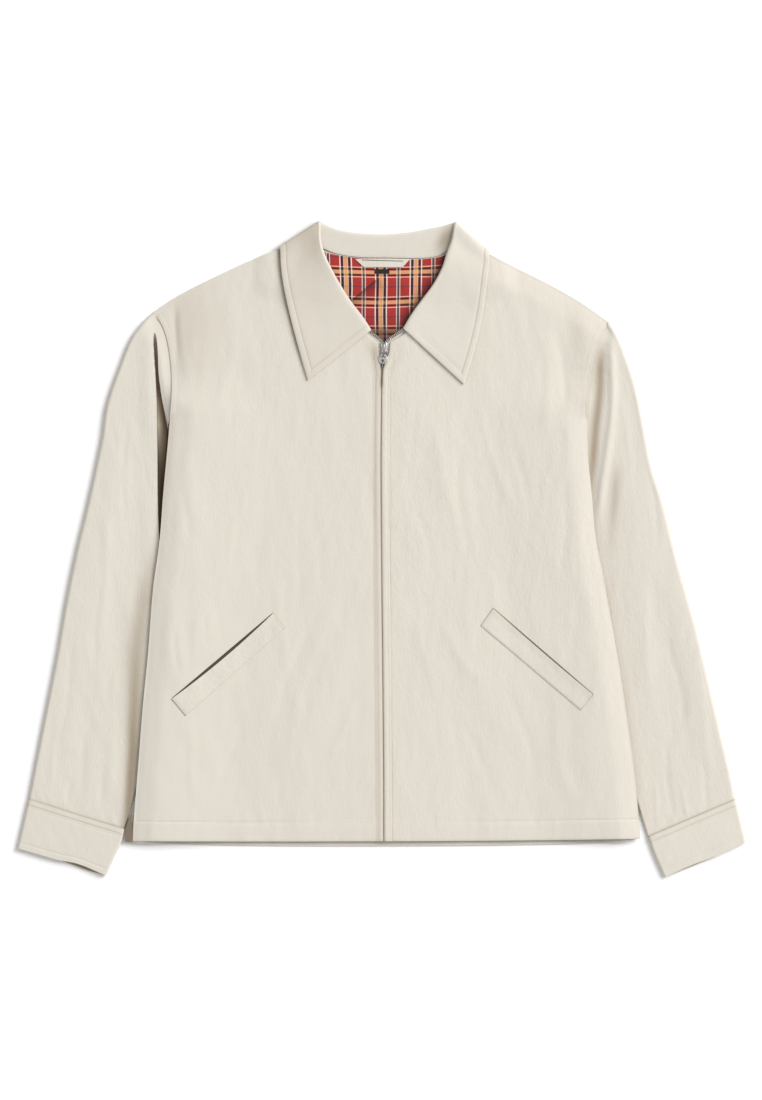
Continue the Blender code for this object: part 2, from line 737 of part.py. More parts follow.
def make_collar(fronts):
    """A strip lofted through the sections: stand, roll and leaf, turned over at both shoulders."""
    seat = Seat(*fronts)
    half = COLLAR_WALL / 2
    up = Vector((0, 0, 1))
    sections = collar_sections()
    folds = [row for row in COLLAR_SECTIONS if row[6] == 0]
    points = []
    for index, (neck, roll, edge, angle) in enumerate(sections):
        on_left = index < len(sections) / 2
        fold = folds[0] if on_left else folds[1]
        tip = COLLAR_SECTIONS[0] if on_left else COLLAR_SECTIONS[-1]
        turning = abs(angle) < 90
        sine = math.sin(math.radians(angle))
        cosine = math.cos(math.radians(angle)) if turning else 0.0
        under = (1 + sine) / 2  # 0 with the leaf on top, 1 with it under the back

        # The roll: half a circle that turns from the stand to the leaf
        inward = (edge - roll).normalized()
        if turning:
            inward = (inward + (neck - roll).normalized()).normalized()
        aside = inward.cross(up) * (1 if on_left else -1)
        to_leaf = aside * cosine - up * sine
        front_level = front_underside(neck.x, neck.y) + SHELL_WALL / 2
        back_level = back_lift(neck.x, neck.y) + SHELL_WALL / 2
        neck.z = front_level * (1 - under) + back_level * under
        centre = roll + inward * ROLL_RADIUS
        centre.z = neck.z * (1 - under) + (half + 2 * ROLL_RADIUS) * under - ROLL_RADIUS * sine
        arc = []
        for step in ROLL_STEPS:
            turn = math.radians(step)
            arc.append(centre + (to_leaf * math.sin(turn) - inward * math.cos(turn)) * ROLL_RADIUS)
        for step in range(STAND_STEPS):
            points.append(neck.lerp(arc[0], step / STAND_STEPS))
        points.extend(arc)

        # The leaf, which lies on the front, under the back, or between where it turns over
        up_side = (edge.y - tip[5]) / (fold[5] - tip[5])
        shares = [row[0] for row in LEAF_STANDOFF]
        standoff = np.interp(up_side, shares, [row[1] for row in LEAF_STANDOFF])
        fold_run = Vector((fold[4] - fold[2], fold[5] - fold[3], 0))
        fold_in = up.cross(fold_run).normalized() * (1 if on_left else -1)
        for step in range(1, LEAF_STEPS + 1):
            share = step / LEAF_STEPS
            place = arc[-1].lerp(edge, share)
            rest = front_underside(place.x, place.y) + SHELL_WALL
            top = max(rest, seat.height(place.x, place.y, LEAF_REACH, rest)) + LEAF_GAP + half
            low = half
            if under < 0.5:
                top += max(0.0, arc[-1].z - top) * (1 - share) ** 2
            else:
                low += max(0.0, arc[-1].z - half) * (1 - share) ** 2
            top += standoff * share * share
            if turning:
                place += fold_in * (top - low) / 2 * (1 - cosine) * share
            place.z = top * (1 - under) + low * under
            points.append(place)
    columns = STAND_STEPS + len(ROLL_STEPS) + LEAF_STEPS
    faces = grid_faces(len(sections), columns)
    return thicken(add_object("collar", points, faces, "shell"), COLLAR_WALL, 0)


def make_tape(name, edge, side):
    """A zip tape under the front's edge. side is -1 left of the zip and 1 right of it."""
    points = []
    for j in range(TAPE_STEPS + 1):
        share = j / TAPE_STEPS
        place, ahead = along(edge, share), along(edge, min(1.0, share + 0.01))
        behind = along(edge, max(0.0, share - 0.01))
        run = (ahead - behind).normalized()
        out = Vector((run.y, -run.x, 0)) * side
        for i in range(3):
            spot = place + out * TAPE_WIDTH * i / 2
            z = front_underside(spot.x, spot.y) - TAPE_CLEAR - TAPE_WALL
            points.append((spot.x, spot.y, z))
    faces = grid_faces(TAPE_STEPS + 1, 3)
    if side < 0:
        faces = [face[::-1] for face in faces]
    return thicken(add_object(name, points, faces, "tape"), TAPE_WALL, 1)


def box(name, low, high, slot):
    bpy.ops.mesh.primitive_cube_add(size=1.0)
    made = bpy.context.object
    made.name = name
    made.data.materials.append(material(slot))
    for vertex in made.data.vertices:
        vertex.co = [(a + (b - a) * (c + 0.5)) * MM for a, b, c in zip(low, high, vertex.co)]
    for owner in list(made.users_collection):
        owner.objects.unlink(made)
    COLLECTION.objects.link(made)
    return made


def make_slider():
    """Slider with a bridge along it, as one body."""
    x, y = SLIDER_MIDDLE
    wide, long, high = (size / 2 for size in SLIDER_SIZE)
    bottom = front_underside(x, y) - TAPE_CLEAR + SEAM_GAP
    plate_top = bottom + 2 * high
    slider = box("zip_slider", (x - wide, y - long, bottom), (x + wide, y + long, plate_top), "metal")
    bridge_wide, bridge_long = BRIDGE_SIZE[0] / 2, BRIDGE_SIZE[1] / 2
    arch_top = plate_top + BRIDGE_ROOM + BRIDGE_SIZE[2]
    pieces = [
        ((y - bridge_long, plate_top - 0.5), (y - bridge_long + BRIDGE_POST, arch_top - 0.1)),
        ((y + bridge_long - BRIDGE_POST, plate_top - 0.5), (y + bridge_long, arch_top - 0.1)),
        ((y - bridge_long, plate_top + BRIDGE_ROOM), (y + bridge_long, arch_top)),
    ]
    for index, ((y0, z0), (y1, z1)) in enumerate(pieces):
        part = box(f"bridge_{index}", (x - bridge_wide, y0, z0), (x + bridge_wide, y1, z1), "metal")
        join(slider, part, "UNION")
    return slider, plate_top + SEAM_GAP + PULL_BAR / 2


def join(made, other, operation):
    """Boolean with a helper, which goes to the cutters."""
    boolean = made.modifiers.new(other.name, "BOOLEAN")
    boolean.operation = operation
    boolean.object = other
    COLLECTION.objects.unlink(other)
    CUTTERS.objects.link(other)
    other.hide_render = True
    other.display_type = "WIRE"


def make_pull(axis_z):
    """A plain tab with a window that its crossbar closes, turning about that bar."""
    x, y = SLIDER_MIDDLE
    half_top = PULL_WIDTH / 2
    half_end = PULL_END_WIDTH / 2
    half_bar = PULL_BAR / 2
    chamfer_x, chamfer_y = PULL_END_CHAMFER
    shoulder = -PULL_WINDOW[1] - PULL_SHOULDER
    outline = [
        (-half_top, half_bar),
        (half_top, half_bar),
        (half_top, shoulder),
        (half_end, -PULL_LENGTH + chamfer_y),
        (half_end - chamfer_x, -PULL_LENGTH),
        (-half_end + chamfer_x, -PULL_LENGTH),
        (-half_end, -PULL_LENGTH + chamfer_y),
        (-half_top, shoulder),
    ]
    half_window = PULL_WINDOW[0] / 2
    window_end = -PULL_WINDOW[1]
    hole = [
        (half_window, -half_bar),
        (-half_window, -half_bar),
        (-half_window, window_end),
        (half_window, window_end),
    ]
    curve = bpy.data.curves.new("zip_pull", "CURVE")
    curve.dimensions = "2D"
    curve.fill_mode = "BOTH"
    curve.extrude = PULL_THICK / 2 * MM
    for ring in (outline, hole):
        spline = curve.splines.new("POLY")
        spline.points.add(len(ring) - 1)
        spline.use_cyclic_u = True
        for point, (px, py) in zip(spline.points, ring):
            point.co = (px * MM, py * MM, 0, 1)
    pull = bpy.data.objects.new("zip_pull", curve)
    pull.location = (x * MM, y * MM, axis_z * MM)
    curve.materials.append(material("metal"))
    COLLECTION.objects.link(pull)
    return pull


CUTTERS = bpy.data.collections.new("helpers")


def main():
    for old in list(bpy.data.objects):
        bpy.data.objects.remove(old)
    bpy.context.scene.collection.children.link(COLLECTION)
    bpy.context.scene.collection.children.link(CUTTERS)
    CUTTERS.hide_render = True
    back = make_back()
    left = (LEFT_HEM, LEFT_CENTRE, LEFT_NECKLINE, LEFT_SIDE, LEFT_ARMHOLE, LEFT_SHOULDER)
    right = (RIGHT_HEM, RIGHT_CENTRE, RIGHT_NECKLINE, RIGHT_SIDE, RIGHT_ARMHOLE, RIGHT_SHOULDER)
    fronts = [make_front("front_left", *left), make_front("front_right", *right)]
    left_arm = (LEFT_SLEEVE_OUTER, LEFT_SLEEVE_INNER, LEFT_ARMHOLE, LEFT_CUFF_SEAM)
    right_arm = (RIGHT_SLEEVE_OUTER, RIGHT_SLEEVE_INNER, RIGHT_ARMHOLE, RIGHT_CUFF_SEAM)
    make_sleeve("sleeve_left", *left_arm, False)
    make_sleeve("sleeve_right", *right_arm, True)
    make_cuff("cuff_left", LEFT_CUFF, False)
    make_cuff("cuff_right", RIGHT_CUFF, True)
    make_collar(fronts)

    def lining_plan(u, v):
        return coons(
            lambda s: along(LINING_BOTTOM, s),
            lambda s: along(LINING_TOP, s),
            lambda s: along(LINING_LEFT, s),
            lambda s: along(LINING_RIGHT, s),
            u,
            v,
        )

    lining = laid_piece("lining_back", lining_plan, (10, 9), Seat(back), SEAM_GAP, LINING_WALL, "lining")
    on_lining = Seat(lining)
    loop = [
        (LOOP_TOP_X[0], LOOP_TOP_Y),
        (LOOP_TOP_X[1], LOOP_TOP_Y),
        (LOOP_BOTTOM_X[1], LOOP_BOTTOM_Y),
        (LOOP_BOTTOM_X[0], LOOP_BOTTOM_Y),
    ]
    laid_piece("hanger_loop", quad_patch(loop), (8, 1), on_lining, SEAM_GAP, LOOP_THICK, "shell")
    x, y = LABEL_MIDDLE
    wide, tall = LABEL_SIZE[0] / 2, LABEL_SIZE[1] / 2
    label = [(x - wide, y + tall), (x + wide, y + tall), (x + wide, y - tall), (x - wide, y - tall)]
    laid_piece("neck_label", quad_patch(label), (3, 1), on_lining, SEAM_GAP, LABEL_THICK, "label")
    for front, (name, corners) in zip(fronts, WELTS.items()):
        laid_piece(name, quad_patch(corners), WELT_STEPS, Seat(front), SEAM_GAP, WELT_THICK, "shell")
    make_tape("zip_tape_left", LEFT_TAPE, -1)
    make_tape("zip_tape_right", RIGHT_TAPE, 1)
    slider, axis_z = make_slider()
    make_pull(axis_z)


main()
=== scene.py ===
# Zip-front coach jacket laid flat on its back, seen from straight above.
# Tables are in millimetres, meshes in metres. Left and right are as seen from above.
import math
import bmesh
import bpy
import numpy as np
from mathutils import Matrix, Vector
from mathutils.bvhtree import BVHTree


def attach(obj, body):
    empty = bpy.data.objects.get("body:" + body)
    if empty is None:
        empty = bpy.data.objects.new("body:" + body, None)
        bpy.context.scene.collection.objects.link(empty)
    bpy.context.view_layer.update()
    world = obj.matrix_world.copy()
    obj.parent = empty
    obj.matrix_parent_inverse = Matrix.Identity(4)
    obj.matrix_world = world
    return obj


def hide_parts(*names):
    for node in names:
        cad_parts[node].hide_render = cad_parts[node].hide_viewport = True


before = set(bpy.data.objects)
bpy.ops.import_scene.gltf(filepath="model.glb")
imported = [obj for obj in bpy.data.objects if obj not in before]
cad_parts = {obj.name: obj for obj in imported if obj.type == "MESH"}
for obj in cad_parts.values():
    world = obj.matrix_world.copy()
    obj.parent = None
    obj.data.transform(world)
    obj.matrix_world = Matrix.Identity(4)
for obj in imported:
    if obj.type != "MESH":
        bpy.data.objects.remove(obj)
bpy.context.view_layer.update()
scene = bpy.context.scene
print("stage: frame loaded")
mm = 0.001   # a millimetre in metres

studio = {
    "viewMiddle": (-0.000575, -0.00069),   # the photo's middle on the surface, metres
    "viewTall": 1.265,                     # what the frame shows from top to bottom
    "cameraHigh": 3.0,
    "floorSize": 16.0, "floorTone": (0.93, 0.93, 0.925),
    "floorBelow": 0.0004,                  # keeps the floor just clear of the cloth
    "worldLight": 0.60,
    "sunStrength": 2.5,                    # the key: soft and low, from the upper right
    "sunFrom": (0.80, 0.50, 0.80),
    "sunSoft": 38.0,                       # degrees
    "fillPower": 6.0,
    "fillPlace": (1.3, 0.5, 1.4),
    "fillSize": 1.0,
}


def makeStudio():
    camera = bpy.data.cameras.new("camera")
    camera.type = "ORTHO"
    camera.ortho_scale = studio["viewTall"]
    cameraObject = bpy.data.objects.new("camera", camera)
    scene.collection.objects.link(cameraObject)
    cameraObject.location = (*studio["viewMiddle"], studio["cameraHigh"])
    scene.camera = cameraObject
    for name, kind, place in (("sun", "SUN", studio["sunFrom"]), ("fill", "AREA", studio["fillPlace"])):
        light = bpy.data.lights.new(name, kind)
        lamp = bpy.data.objects.new(name, light)
        scene.collection.objects.link(lamp)
        lamp.location = place
        tilt, around = math.atan2(math.hypot(place[0], place[1]), place[2]), math.atan2(place[1], place[0])
        lamp.rotation_euler = (tilt, 0, around + math.pi / 2)
        if kind == "SUN":
            light.energy = studio["sunStrength"]
            light.angle = math.radians(studio["sunSoft"])
        else:
            light.energy = studio["fillPower"]
            light.size = studio["fillSize"]
    world = bpy.data.worlds.new("soft white room")
    world.use_nodes = True
    world.node_tree.nodes["Background"].inputs["Color"].default_value = (1.0, 0.995, 0.985, 1)
    world.node_tree.nodes["Background"].inputs["Strength"].default_value = studio["worldLight"]
    scene.world = world
    scene.view_settings.view_transform = "Standard"
    scene.view_settings.look = "None"
    half, low = studio["floorSize"] / 2, -studio["floorBelow"]
    corners = [(-half, -half, low), (half, -half, low), (half, half, low), (-half, half, low)]
    floor = meshObject("floor", corners, [(0, 1, 2, 3)], None)
    white = newMaterial("white paper sweep", Base_Color=(*studio["floorTone"], 1), Roughness=0.9)[0]
    floor.data.materials.append(white)


def newMaterial(name, **values):
    # a material with these values set on its shader
    made = bpy.data.materials.new(name)
    made.use_nodes = True
    shader = made.node_tree.nodes["Principled BSDF"]
    for key, value in values.items():
        shader.inputs[key.replace("_", " ")].default_value = value
    return made, shader


def inMetres(x, y, z):
    return np.stack([x, y, z], -1) * mm


def setPointValues(mesh, name, values):
    layer = mesh.attributes.new(name, "FLOAT", "POINT")
    layer.data.foreach_set("value", np.ascontiguousarray(np.ravel(values), dtype=np.float32))


def meshObject(name, points, faces, materialUsed, clothWay=None, crinkle=1.0):
    # clothWay is each point's place on the flat cloth in metres; crinkle is how creased its surface is
    mesh = bpy.data.meshes.new(name)
    mesh.from_pydata(np.asarray(points, float).tolist(), [], faces)
    if clothWay is not None:
        layer = mesh.uv_layers.new(name="clothWay")
        corners = np.empty(len(mesh.loops), dtype=np.int32)
        mesh.loops.foreach_get("vertex_index", corners)
        layer.data.foreach_set("uv", np.asarray(clothWay, float).reshape(-1, 2)[corners].ravel())
        amount = np.broadcast_to(np.asarray(crinkle, float).ravel(), len(mesh.vertices))
        setPointValues(mesh, "crinkle", amount)
    if materialUsed:
        mesh.materials.append(materialUsed)
    mesh.polygons.foreach_set("use_smooth", [True] * len(mesh.polygons))
    made = bpy.data.objects.new(name, mesh)
    scene.collection.objects.link(made)
    return made


def paintShade(made, values):
    # painted shade: how much of the shade colour the cloth shows at each point, in folds, seams and under
    # other pieces
    setPointValues(made.data, "foldShade", values)


def gridFaces(rows, columns, closed=False, turned=False):
    faces = []
    for row in range(rows - 1):
        here, above = row * columns, (row + 1) * columns
        for column in range(columns if closed else columns - 1):
            after = (column + 1) % columns
            face = (here + column, here + after, above + after, above + column)
            faces.append(face[::-1] if turned else face)
    return faces


def bakeModifiers(made):
    # plain mesh in place of the live modifiers
    graph = bpy.context.evaluated_depsgraph_get()
    baked = bpy.data.meshes.new_from_object(made.evaluated_get(graph))
    made.modifiers.clear()
    old = made.data
    made.data = baked
    bpy.data.meshes.remove(old)
    baked.name = made.name
    return made


def thicken(made, wall, offset, soften=0.0):
    # a closed shell from an open sheet; wall in mm
    wallMaker = made.modifiers.new("wall", "SOLIDIFY")
    wallMaker.thickness = wall * mm
    wallMaker.offset = offset
    if soften:
        rounder = made.modifiers.new("soft rim", "BEVEL")
        rounder.width = soften * mm
        rounder.segments = 2
        rounder.limit_method = "ANGLE"
        rounder.angle_limit = math.radians(60)
    return bakeModifiers(made)


def smoothStep(value):
    value = np.clip(value, 0.0, 1.0)
    return value * value * (3 - 2 * value)


def curveAt(points, shares):
    # points on a smooth curve through a table's rows, by share of its length
    points = np.asarray(points, float)
    shares = np.atleast_1d(np.asarray(shares, float))
    lengths = np.concatenate([[0], np.cumsum(np.linalg.norm(np.diff(points, axis=0), axis=1))])
    target = shares * lengths[-1]
    i = np.clip(np.searchsorted(lengths, target) - 1, 0, len(points) - 2)
    t = ((target - lengths[i]) / (lengths[i + 1] - lengths[i]))[:, None]
    before, start, end, after = points[np.maximum(i - 1, 0)], points[i], points[i
        + 1], points[np.minimum(i + 2, len(points) - 1)]
    chord = np.linalg.norm(end - start, axis=1)[:, None]
    leave = (end - before) * chord / np.maximum(np.linalg.norm(end - before, axis=1)[:, None], 1e-9)
    arrive = (after - start) * chord / np.maximum(np.linalg.norm(after - start, axis=1)[:, None], 1e-9)
    return smoothBetween(start, leave, end, arrive, t)


def smoothBetween(start, leave, end, arrive, t):
    # from start to end, leaving and arriving along these directions
    t2, t3 = t * t, t * t * t
    return start * (2 * t3 - 3 * t2 + 1) + leave * (t3 - 2 * t2 + t) + end * (3 * t2
        - 2 * t3) + arrive * (t3 - t2)


def curveOf(points):
    return lambda shares: curveAt(points, shares)


def joinedCurve(lower, upper, split):
    def at(shares):
        shares = np.atleast_1d(shares)
        low = curveAt(lower, np.minimum(shares / split, 1))
        high = curveAt(upper, np.clip((shares - split) / (1 - split), 0, 1))
        return np.where((shares <= split)[:, None], low, high)
    return at


def patchGrid(bottom, top, left, right, across, upward):
    # places inside four edge curves, one row for each share upward
    u = across[None, :, None]
    v = upward[:, None, None]
    b, t = bottom(across)[None], top(across)[None]
    l, r = left(upward)[:, None], right(upward)[:, None]
    corners = (b[:, :1] * (1 - u) + b[:, -1:] * u) * (1 - v) + (t[:, :1] * (1 - u) + t[:, -1:] * u) * v
    return b * (1 - v) + t * v + l * (1 - u) + r * u - corners


def awayFromLine(x, y, x0, y0, x1, y1):
    runX, runY = x1 - x0, y1 - y0
    share = ((x - x0) * runX + (y - y0) * runY) / (runX**2 + runY**2)
    near = np.clip(share, 0, 1)
    return np.hypot(x - x0 - near * runX, y - y0 - near * runY), near


def awayFromCurve(x, y, points):
    nearest = np.full(np.shape(x), 1e9)
    for start, end in zip(points, points[1:]):
        nearest = np.minimum(nearest, awayFromLine(x, y, *start, *end)[0])
    return nearest


def drift(x, y, wide, long, seed, slant=0.0):
    # even noise from -1 to 1, its lumps this wide and long in mm, leaning by slant
    maker = np.random.RandomState(seed)
    table = maker.uniform(-1, 1, (64, 64))
    a = (x - slant * y) / wide + 1000.0
    b = y / long + 1000.0
    i, j = np.floor(a).astype(int), np.floor(b).astype(int)
    s, t = smoothStep(a - i), smoothStep(b - j)
    i, j, i1, j1 = i % 64, j % 64, (i + 1) % 64, (j + 1) % 64
    return (table[i, j] * (1 - s) + table[i1, j] * s) * (1 - t) + (table[i, j1] * (1 - s)
        + table[i1, j1] * s) * t


def foldSum(x, y, folds, reach=2.2):
    # soft ridges and troughs: start x, y, end x, y, half width, height
    total = np.zeros(np.shape(x))
    for x0, y0, x1, y1, half, height in folds:
        away, share = awayFromLine(x, y, x0, y0, x1, y1)
        total += height * (0.55 + 0.45 * np.sin(math.pi * share)) * smoothStep(1 - away / (reach * half))
    return total


def creaseSum(x, y, creases):
    # narrow wandering creases that fade at both ends: start x, y, end x, y, half width, height, wander
    total = np.zeros(np.shape(x))
    for x0, y0, x1, y1, half, height, wander in creases:
        length = math.hypot(x1 - x0, y1 - y0)
        ax, ay = (x1 - x0) / length, (y1 - y0) / length
        run = (x - x0) * ax + (y - y0) * ay
        side = (x - x0) * -ay + (y - y0) * ax
        share = run / length
        side = side - wander * np.sin(share * 5.1 + x0 * 0.7)
        fade = smoothStep(share * 4) * smoothStep((1 - share) * 3)
        total += height * fade * np.exp(-((side / half) ** 2))
    return total


def spot(distance, half):
    # 1 at a distance of 0, fading like a bell; half is where it has faded to about a third
    return np.exp(-((distance / half) ** 2))


def spacedShares(step, length, extra):
    # even shares with closer ones at given distances in mm from the start and the end
    first, last = extra
    count = max(2, int(round(length / step)))
    shares = set(np.round(np.linspace(0, 1, count + 1), 5))
    near = max(first) if first else 0
    far = length - (max(last) if last else 0)
    shares = {s for s in shares if near < s * length < far}
    shares |= {round(d / length, 5) for d in first} | {round(1 - d / length, 5) for d in last} | {0.0, 1.0}
    return np.array(sorted(shares))


bodyShape = {
    "leftSide": [
        (-286, -335.3), (-285.2, -315), (-278.9, -236.4), (-274.3, -177.8), (-268.5, -119),
        (-262.8, -45.5), (-255.4, 8.7), (-251, 64.9), (-245.6, 123.5), (-243.5, 150),
    ],
    "leftArmhole": [
        (-243.5, 150), (-241.2, 180), (-241.8, 208), (-245.9, 238), (-252.4, 258),
        (-262, 272.5),
    ],
    "leftShoulder": [
        (-80, 352), (-115.6, 345.5), (-145.8, 334), (-188, 314.6), (-231.4, 292.6),
        (-262, 272.5),
    ],
    "rightSide": [
        (297.3, -332.5), (296.7, -320.4), (292.2, -267.5), (284.6, -208.8), (276, -149.6),
        (265.8, -90.4), (255.4, -31.7), (246.6, 13.1), (242, 62.6), (237.5, 107.4),
        (236.6, 150),
    ],
    "rightArmhole": [
        (236.6, 150), (237.8, 175), (241, 203), (246.5, 228), (253.5, 247),
        (261.5, 261),
    ],
    "rightShoulder": [
        (88, 350), (122.9, 339.7), (144.7, 328.4), (196.3, 302.6), (228.6, 284),
        (261.5, 261),
    ],
    "leftCentre": [
        (2, -335.3), (1.7, -242), (-0.6, 0), (-1.2, 90), (-0.9, 150),
        (-0.4, 192), (0.3, 206.5), (-1.2, 214), (-3.4, 225), (-4.6, 238),
    ],
    "rightCentre": [
        (3.2, -335.3), (2.9, -242), (0.6, 0), (0, 90), (0.3, 150),
        (0.7, 192), (1.1, 206.5), (3.6, 214), (9, 225), (10.2, 238),
    ],
    "leftNeckline": [
        (-4.6, 238), (-17.5, 248.5), (-30.5, 261), (-58.5, 299), (-76, 332),
        (-80, 352),
    ],
    "rightNeckline": [
        (10.2, 238), (27.5, 248.5), (37.5, 262), (62.5, 294), (82, 328),
        (88, 350),
    ],
    "leftHem": [
        (2, -335.3), (-140, -335.6), (-286, -335.3),
    ],
    "rightHem": [
        (3.2, -335.3), (150, -334.4), (297.3, -332.5),
    ],
    "backHem": [
        (-286, -335.3), (-262, -338.5), (-140, -340.8), (10, -341.1), (150, -340),
        (272, -337), (297.3, -332.5),
    ],
    "backNeck": [
        (-80, 352), (-70, 345), (-49.5, 338.8), (-25, 335.4), (4, 334.7),
        (42, 334.2), (66, 336.6), (79, 342), (88, 350),
    ],
}

frontLook = {
    "folds": [
        (-238, 286, -236, 196, 9, -1.6), (-240, -90, -236, -150, 8, 0.9), (-206, -70, -202, -125, 8, 0.8),
        (-36, -104, -105, -242, 16, 1), (-150, 60, -190, -40, 18, 0.7), (232, 282, 236, 215, 10, 1.2),
        (218, 262, 219, 160, 11, -1.3), (90, -60, 120, -200, 20, 0.8), (60, 150, 95, 20, 16, 0.7),
    ],
    # narrower ones, in the shell's own surface. Columns: start x, y, end x, y, half width, height, wander
    "creases": [
        (-238, -88, -234, -152, 2.6, -0.7, 1.5), (-203, -70, -200, -122, 2.2, -0.5, 1),
        (-212, -60, -216, -140, 3.5, 0.4, 1.5), (-168, 40, -164, -60, 5, -0.4, 3),
        (-60, -60, -112, -250, 6, 0.55, 5), (-78, -70, -128, -225, 4.5, -0.5, 4),
        (-26, -150, -60, -262, 5, 0.4, 4), (-120, -20, -112, -150, 4.5, 0.35, 3),
        (-96, 60, -92, -70, 4, -0.3, 3), (-48, 40, -100, -40, 5, -0.35, 3),
        (-224, -180, -214, -290, 5, 0.45, 3), (-160, -190, -190, -300, 6, -0.4, 4),
        (-237, 292, -236, 205, 3.2, -1, 1.2), (-229, 286, -225, 180, 5, 0.5, 3),
        (-170, 262, -186, 140, 6, 0.35, 4), (-228, 90, -222, 0, 5, -0.5, 2),
        (56, 150, 92, 20, 6, 0.5, 5), (84, 120, 104, -30, 4.5, -0.5, 4),
        (112, 180, 150, 30, 5, 0.5, 5), (150, 150, 172, 10, 4.5, -0.45, 4),
        (36, 60, 72, -60, 5, -0.4, 3), (66, -80, 128, -170, 6, 0.5, 5),
        (40, -60, 60, -180, 4.5, 0.35, 3), (150, -150, 182, -290, 5.5, -0.5, 4),
        (190, -190, 226, -300, 6, 0.5, 4), (96, -190, 130, -300, 5, -0.4, 4),
        (238, 110, 224, -20, 6, 0.5, 3), (214, 96, 204, -60, 5.5, -0.45, 3),
        (204, 262, 210, 150, 5, -0.8, 2.5), (188, 258, 192, 120, 6.5, 0.6, 3),
        (246, 226, 224, 214, 1.8, -0.5, 0.6), (242, 210, 220, 204, 1.8, -0.45, 0.6),
        (241, 196, 222, 192, 1.6, -0.35, 0.5), (-18, -334, -14, -312, 2, 0.6, 0.4),
        (-268, -334, -262, -306, 2.4, 0.5, 0.6), (120, -334, 124, -308, 2.2, 0.4, 0.5),
    ],
    # soft shade. Columns: x, y, half width, half height, amount
    "grooveShade": {"left": (5.2, 3.2, 0.13), "right": (9.0, 1.8, 0.11)},
    "shades": [(-220, 262, 32, 60, 0.10), (-6, 225, 4.5, 11, 0.30), (-12, 232, 8, 10, 0.10),
               (225, 240, 14, 40, 0.05), (16, 226, 8, 12, 0.08)],
    "step": 3.1,                      # mm between the grid's lines
    "centreLines": (0.5, 1.2, 2.4, 4.6, 6.6, 7.4, 8.1, 8.8, 9.7, 11.2, 13.5),
    "edgeLines": (0.5, 1.2, 2.2, 3.6, 5.2, 6.4),
    "hemLines": (0.5, 1.2, 2.4, 5, 9, 14, 18, 20.3, 21.5, 22.3, 23.1, 24.3, 27),
    "stripWide": 8.1,                 # folded strip beside the zip
    "stripHigh": (0.6, 0.95),         # left, right
    "hemDeep": 22.3,
    "hemHigh": 0.35,
    "crinkle": 0.17,                  # of the surface itself; finer ones are in the material
    "sway": 0.55,
    "stripSeamIn": 1.3,               # the strip's seam, in from its edge
    "armholeSeams": (2.2, 7.2),       # in from the armhole
    "pucker": 0.16, "puckerReach": 7.0,
    "rimDrop": 0.55, "rimWide": 1.6,  # the turned edges roll down
    # painted shade: amount and half width
    "partedShade": (0.95, 1.4), "centreShade": (0.5, 0.9), "sideShade": (0.16, 4.5),
    "leafShade": (0.5, 2.4),
    "mostShade": 0.9,
}

cloth = {
    "shellWall": 1.5, "collarWall": 2.0, "liningWall": 1.0, "seamGap": 0.3,
    "loft": 3.0, "edgeLoft": 0.6, "loftRamp": 26.0,
    "sideLift": 5.2, "sideFlat": 16.0, "sideRamp": 32.0, "frontRamp": 105.0, "underarmY": 150.0,
    "neckLift": 2.6, "neckMiddleX": 4.0, "neckHalf": 154.0, "neckStartY": 282.0, "neckFullY": 308.0,
    "armholeShare": 0.76,
}
leftSeams = [bodyShape["leftSide"], bodyShape["leftShoulder"]]
rightSeams = [bodyShape["rightSide"], bodyShape["rightShoulder"]]


def sampled(points, count=70):
    return [tuple(p) for p in curveAt(points, np.linspace(0, 1, count))]


def frontLift(x, y):
    # over the sleeves the fronts rise more gently than the back
    away = np.where(x < 0, awayFromCurve(x, y, bodyShape["leftSide"]),
                    awayFromCurve(x, y, bodyShape["rightSide"]))
    side = cloth["sideLift"] * smoothStep(1 - (away - cloth["sideFlat"]) / cloth["frontRamp"])
    return np.maximum(side * smoothStep((cloth["underarmY"] + 60 - y) / 56), backLift(x, y))


def backLift(x, y):
    left = awayFromCurve(x, y, bodyShape["leftSide"])
    right = awayFromCurve(x, y, bodyShape["rightSide"])
    away = np.where(x < 0, left, right)
    side = cloth["sideLift"] * smoothStep(1 - (away - cloth["sideFlat"]) / cloth["sideRamp"])
    side = side * smoothStep((cloth["underarmY"] + 40 - y) / 36)
    wide = smoothStep((cloth["neckHalf"] - abs(x - cloth["neckMiddleX"])) / 20)
    deep = smoothStep((y - cloth["neckStartY"]) / (cloth["neckFullY"] - cloth["neckStartY"]))
    return np.maximum(side, cloth["neckLift"] * wide * deep)


def airBetween(x, y):
    left = np.minimum(*[awayFromCurve(x, y, seam) for seam in leftSeams])
    right = np.minimum(*[awayFromCurve(x, y, seam) for seam in rightSeams])
    away = np.where(x < 0, left, right)
    return cloth["loft"] * smoothStep(away / cloth["loftRamp"]) + cloth["edgeLoft"]


def frontUnder(x, y):
    # underside of the fronts, as the solids have it
    raised = np.maximum(-cloth["loft"] * 0.8, foldSum(x, y, frontLook["folds"]))
    room = airBetween(x, y)
    loose = np.minimum(1, room / cloth["loft"])
    return frontLift(x, y) + cloth["shellWall"] + cloth["seamGap"] + room + raised * loose


def seamGroove(away, at, deep, half=0.8):
    return -deep * np.exp(-(((away - at) / half) ** 2))


def frontRelief(x, y):
    # what the cloth adds to the solid's form: sway, creases and crinkles, less where it lies tight
    room = np.minimum(1, airBetween(x, y) / cloth["loft"])
    made = frontLook["sway"] * (drift(x, y, 46, 120, 3, 0.12) + 0.6 * drift(x, y, 24, 66, 4, -0.1))
    made += creaseSum(x, y, frontLook["creases"])
    made += frontLook["crinkle"] * (drift(x, y, 7.5, 26, 5, 0.1) + drift(x, y, 12, 34, 6, -0.18))
    return made * (0.25 + 0.75 * room)


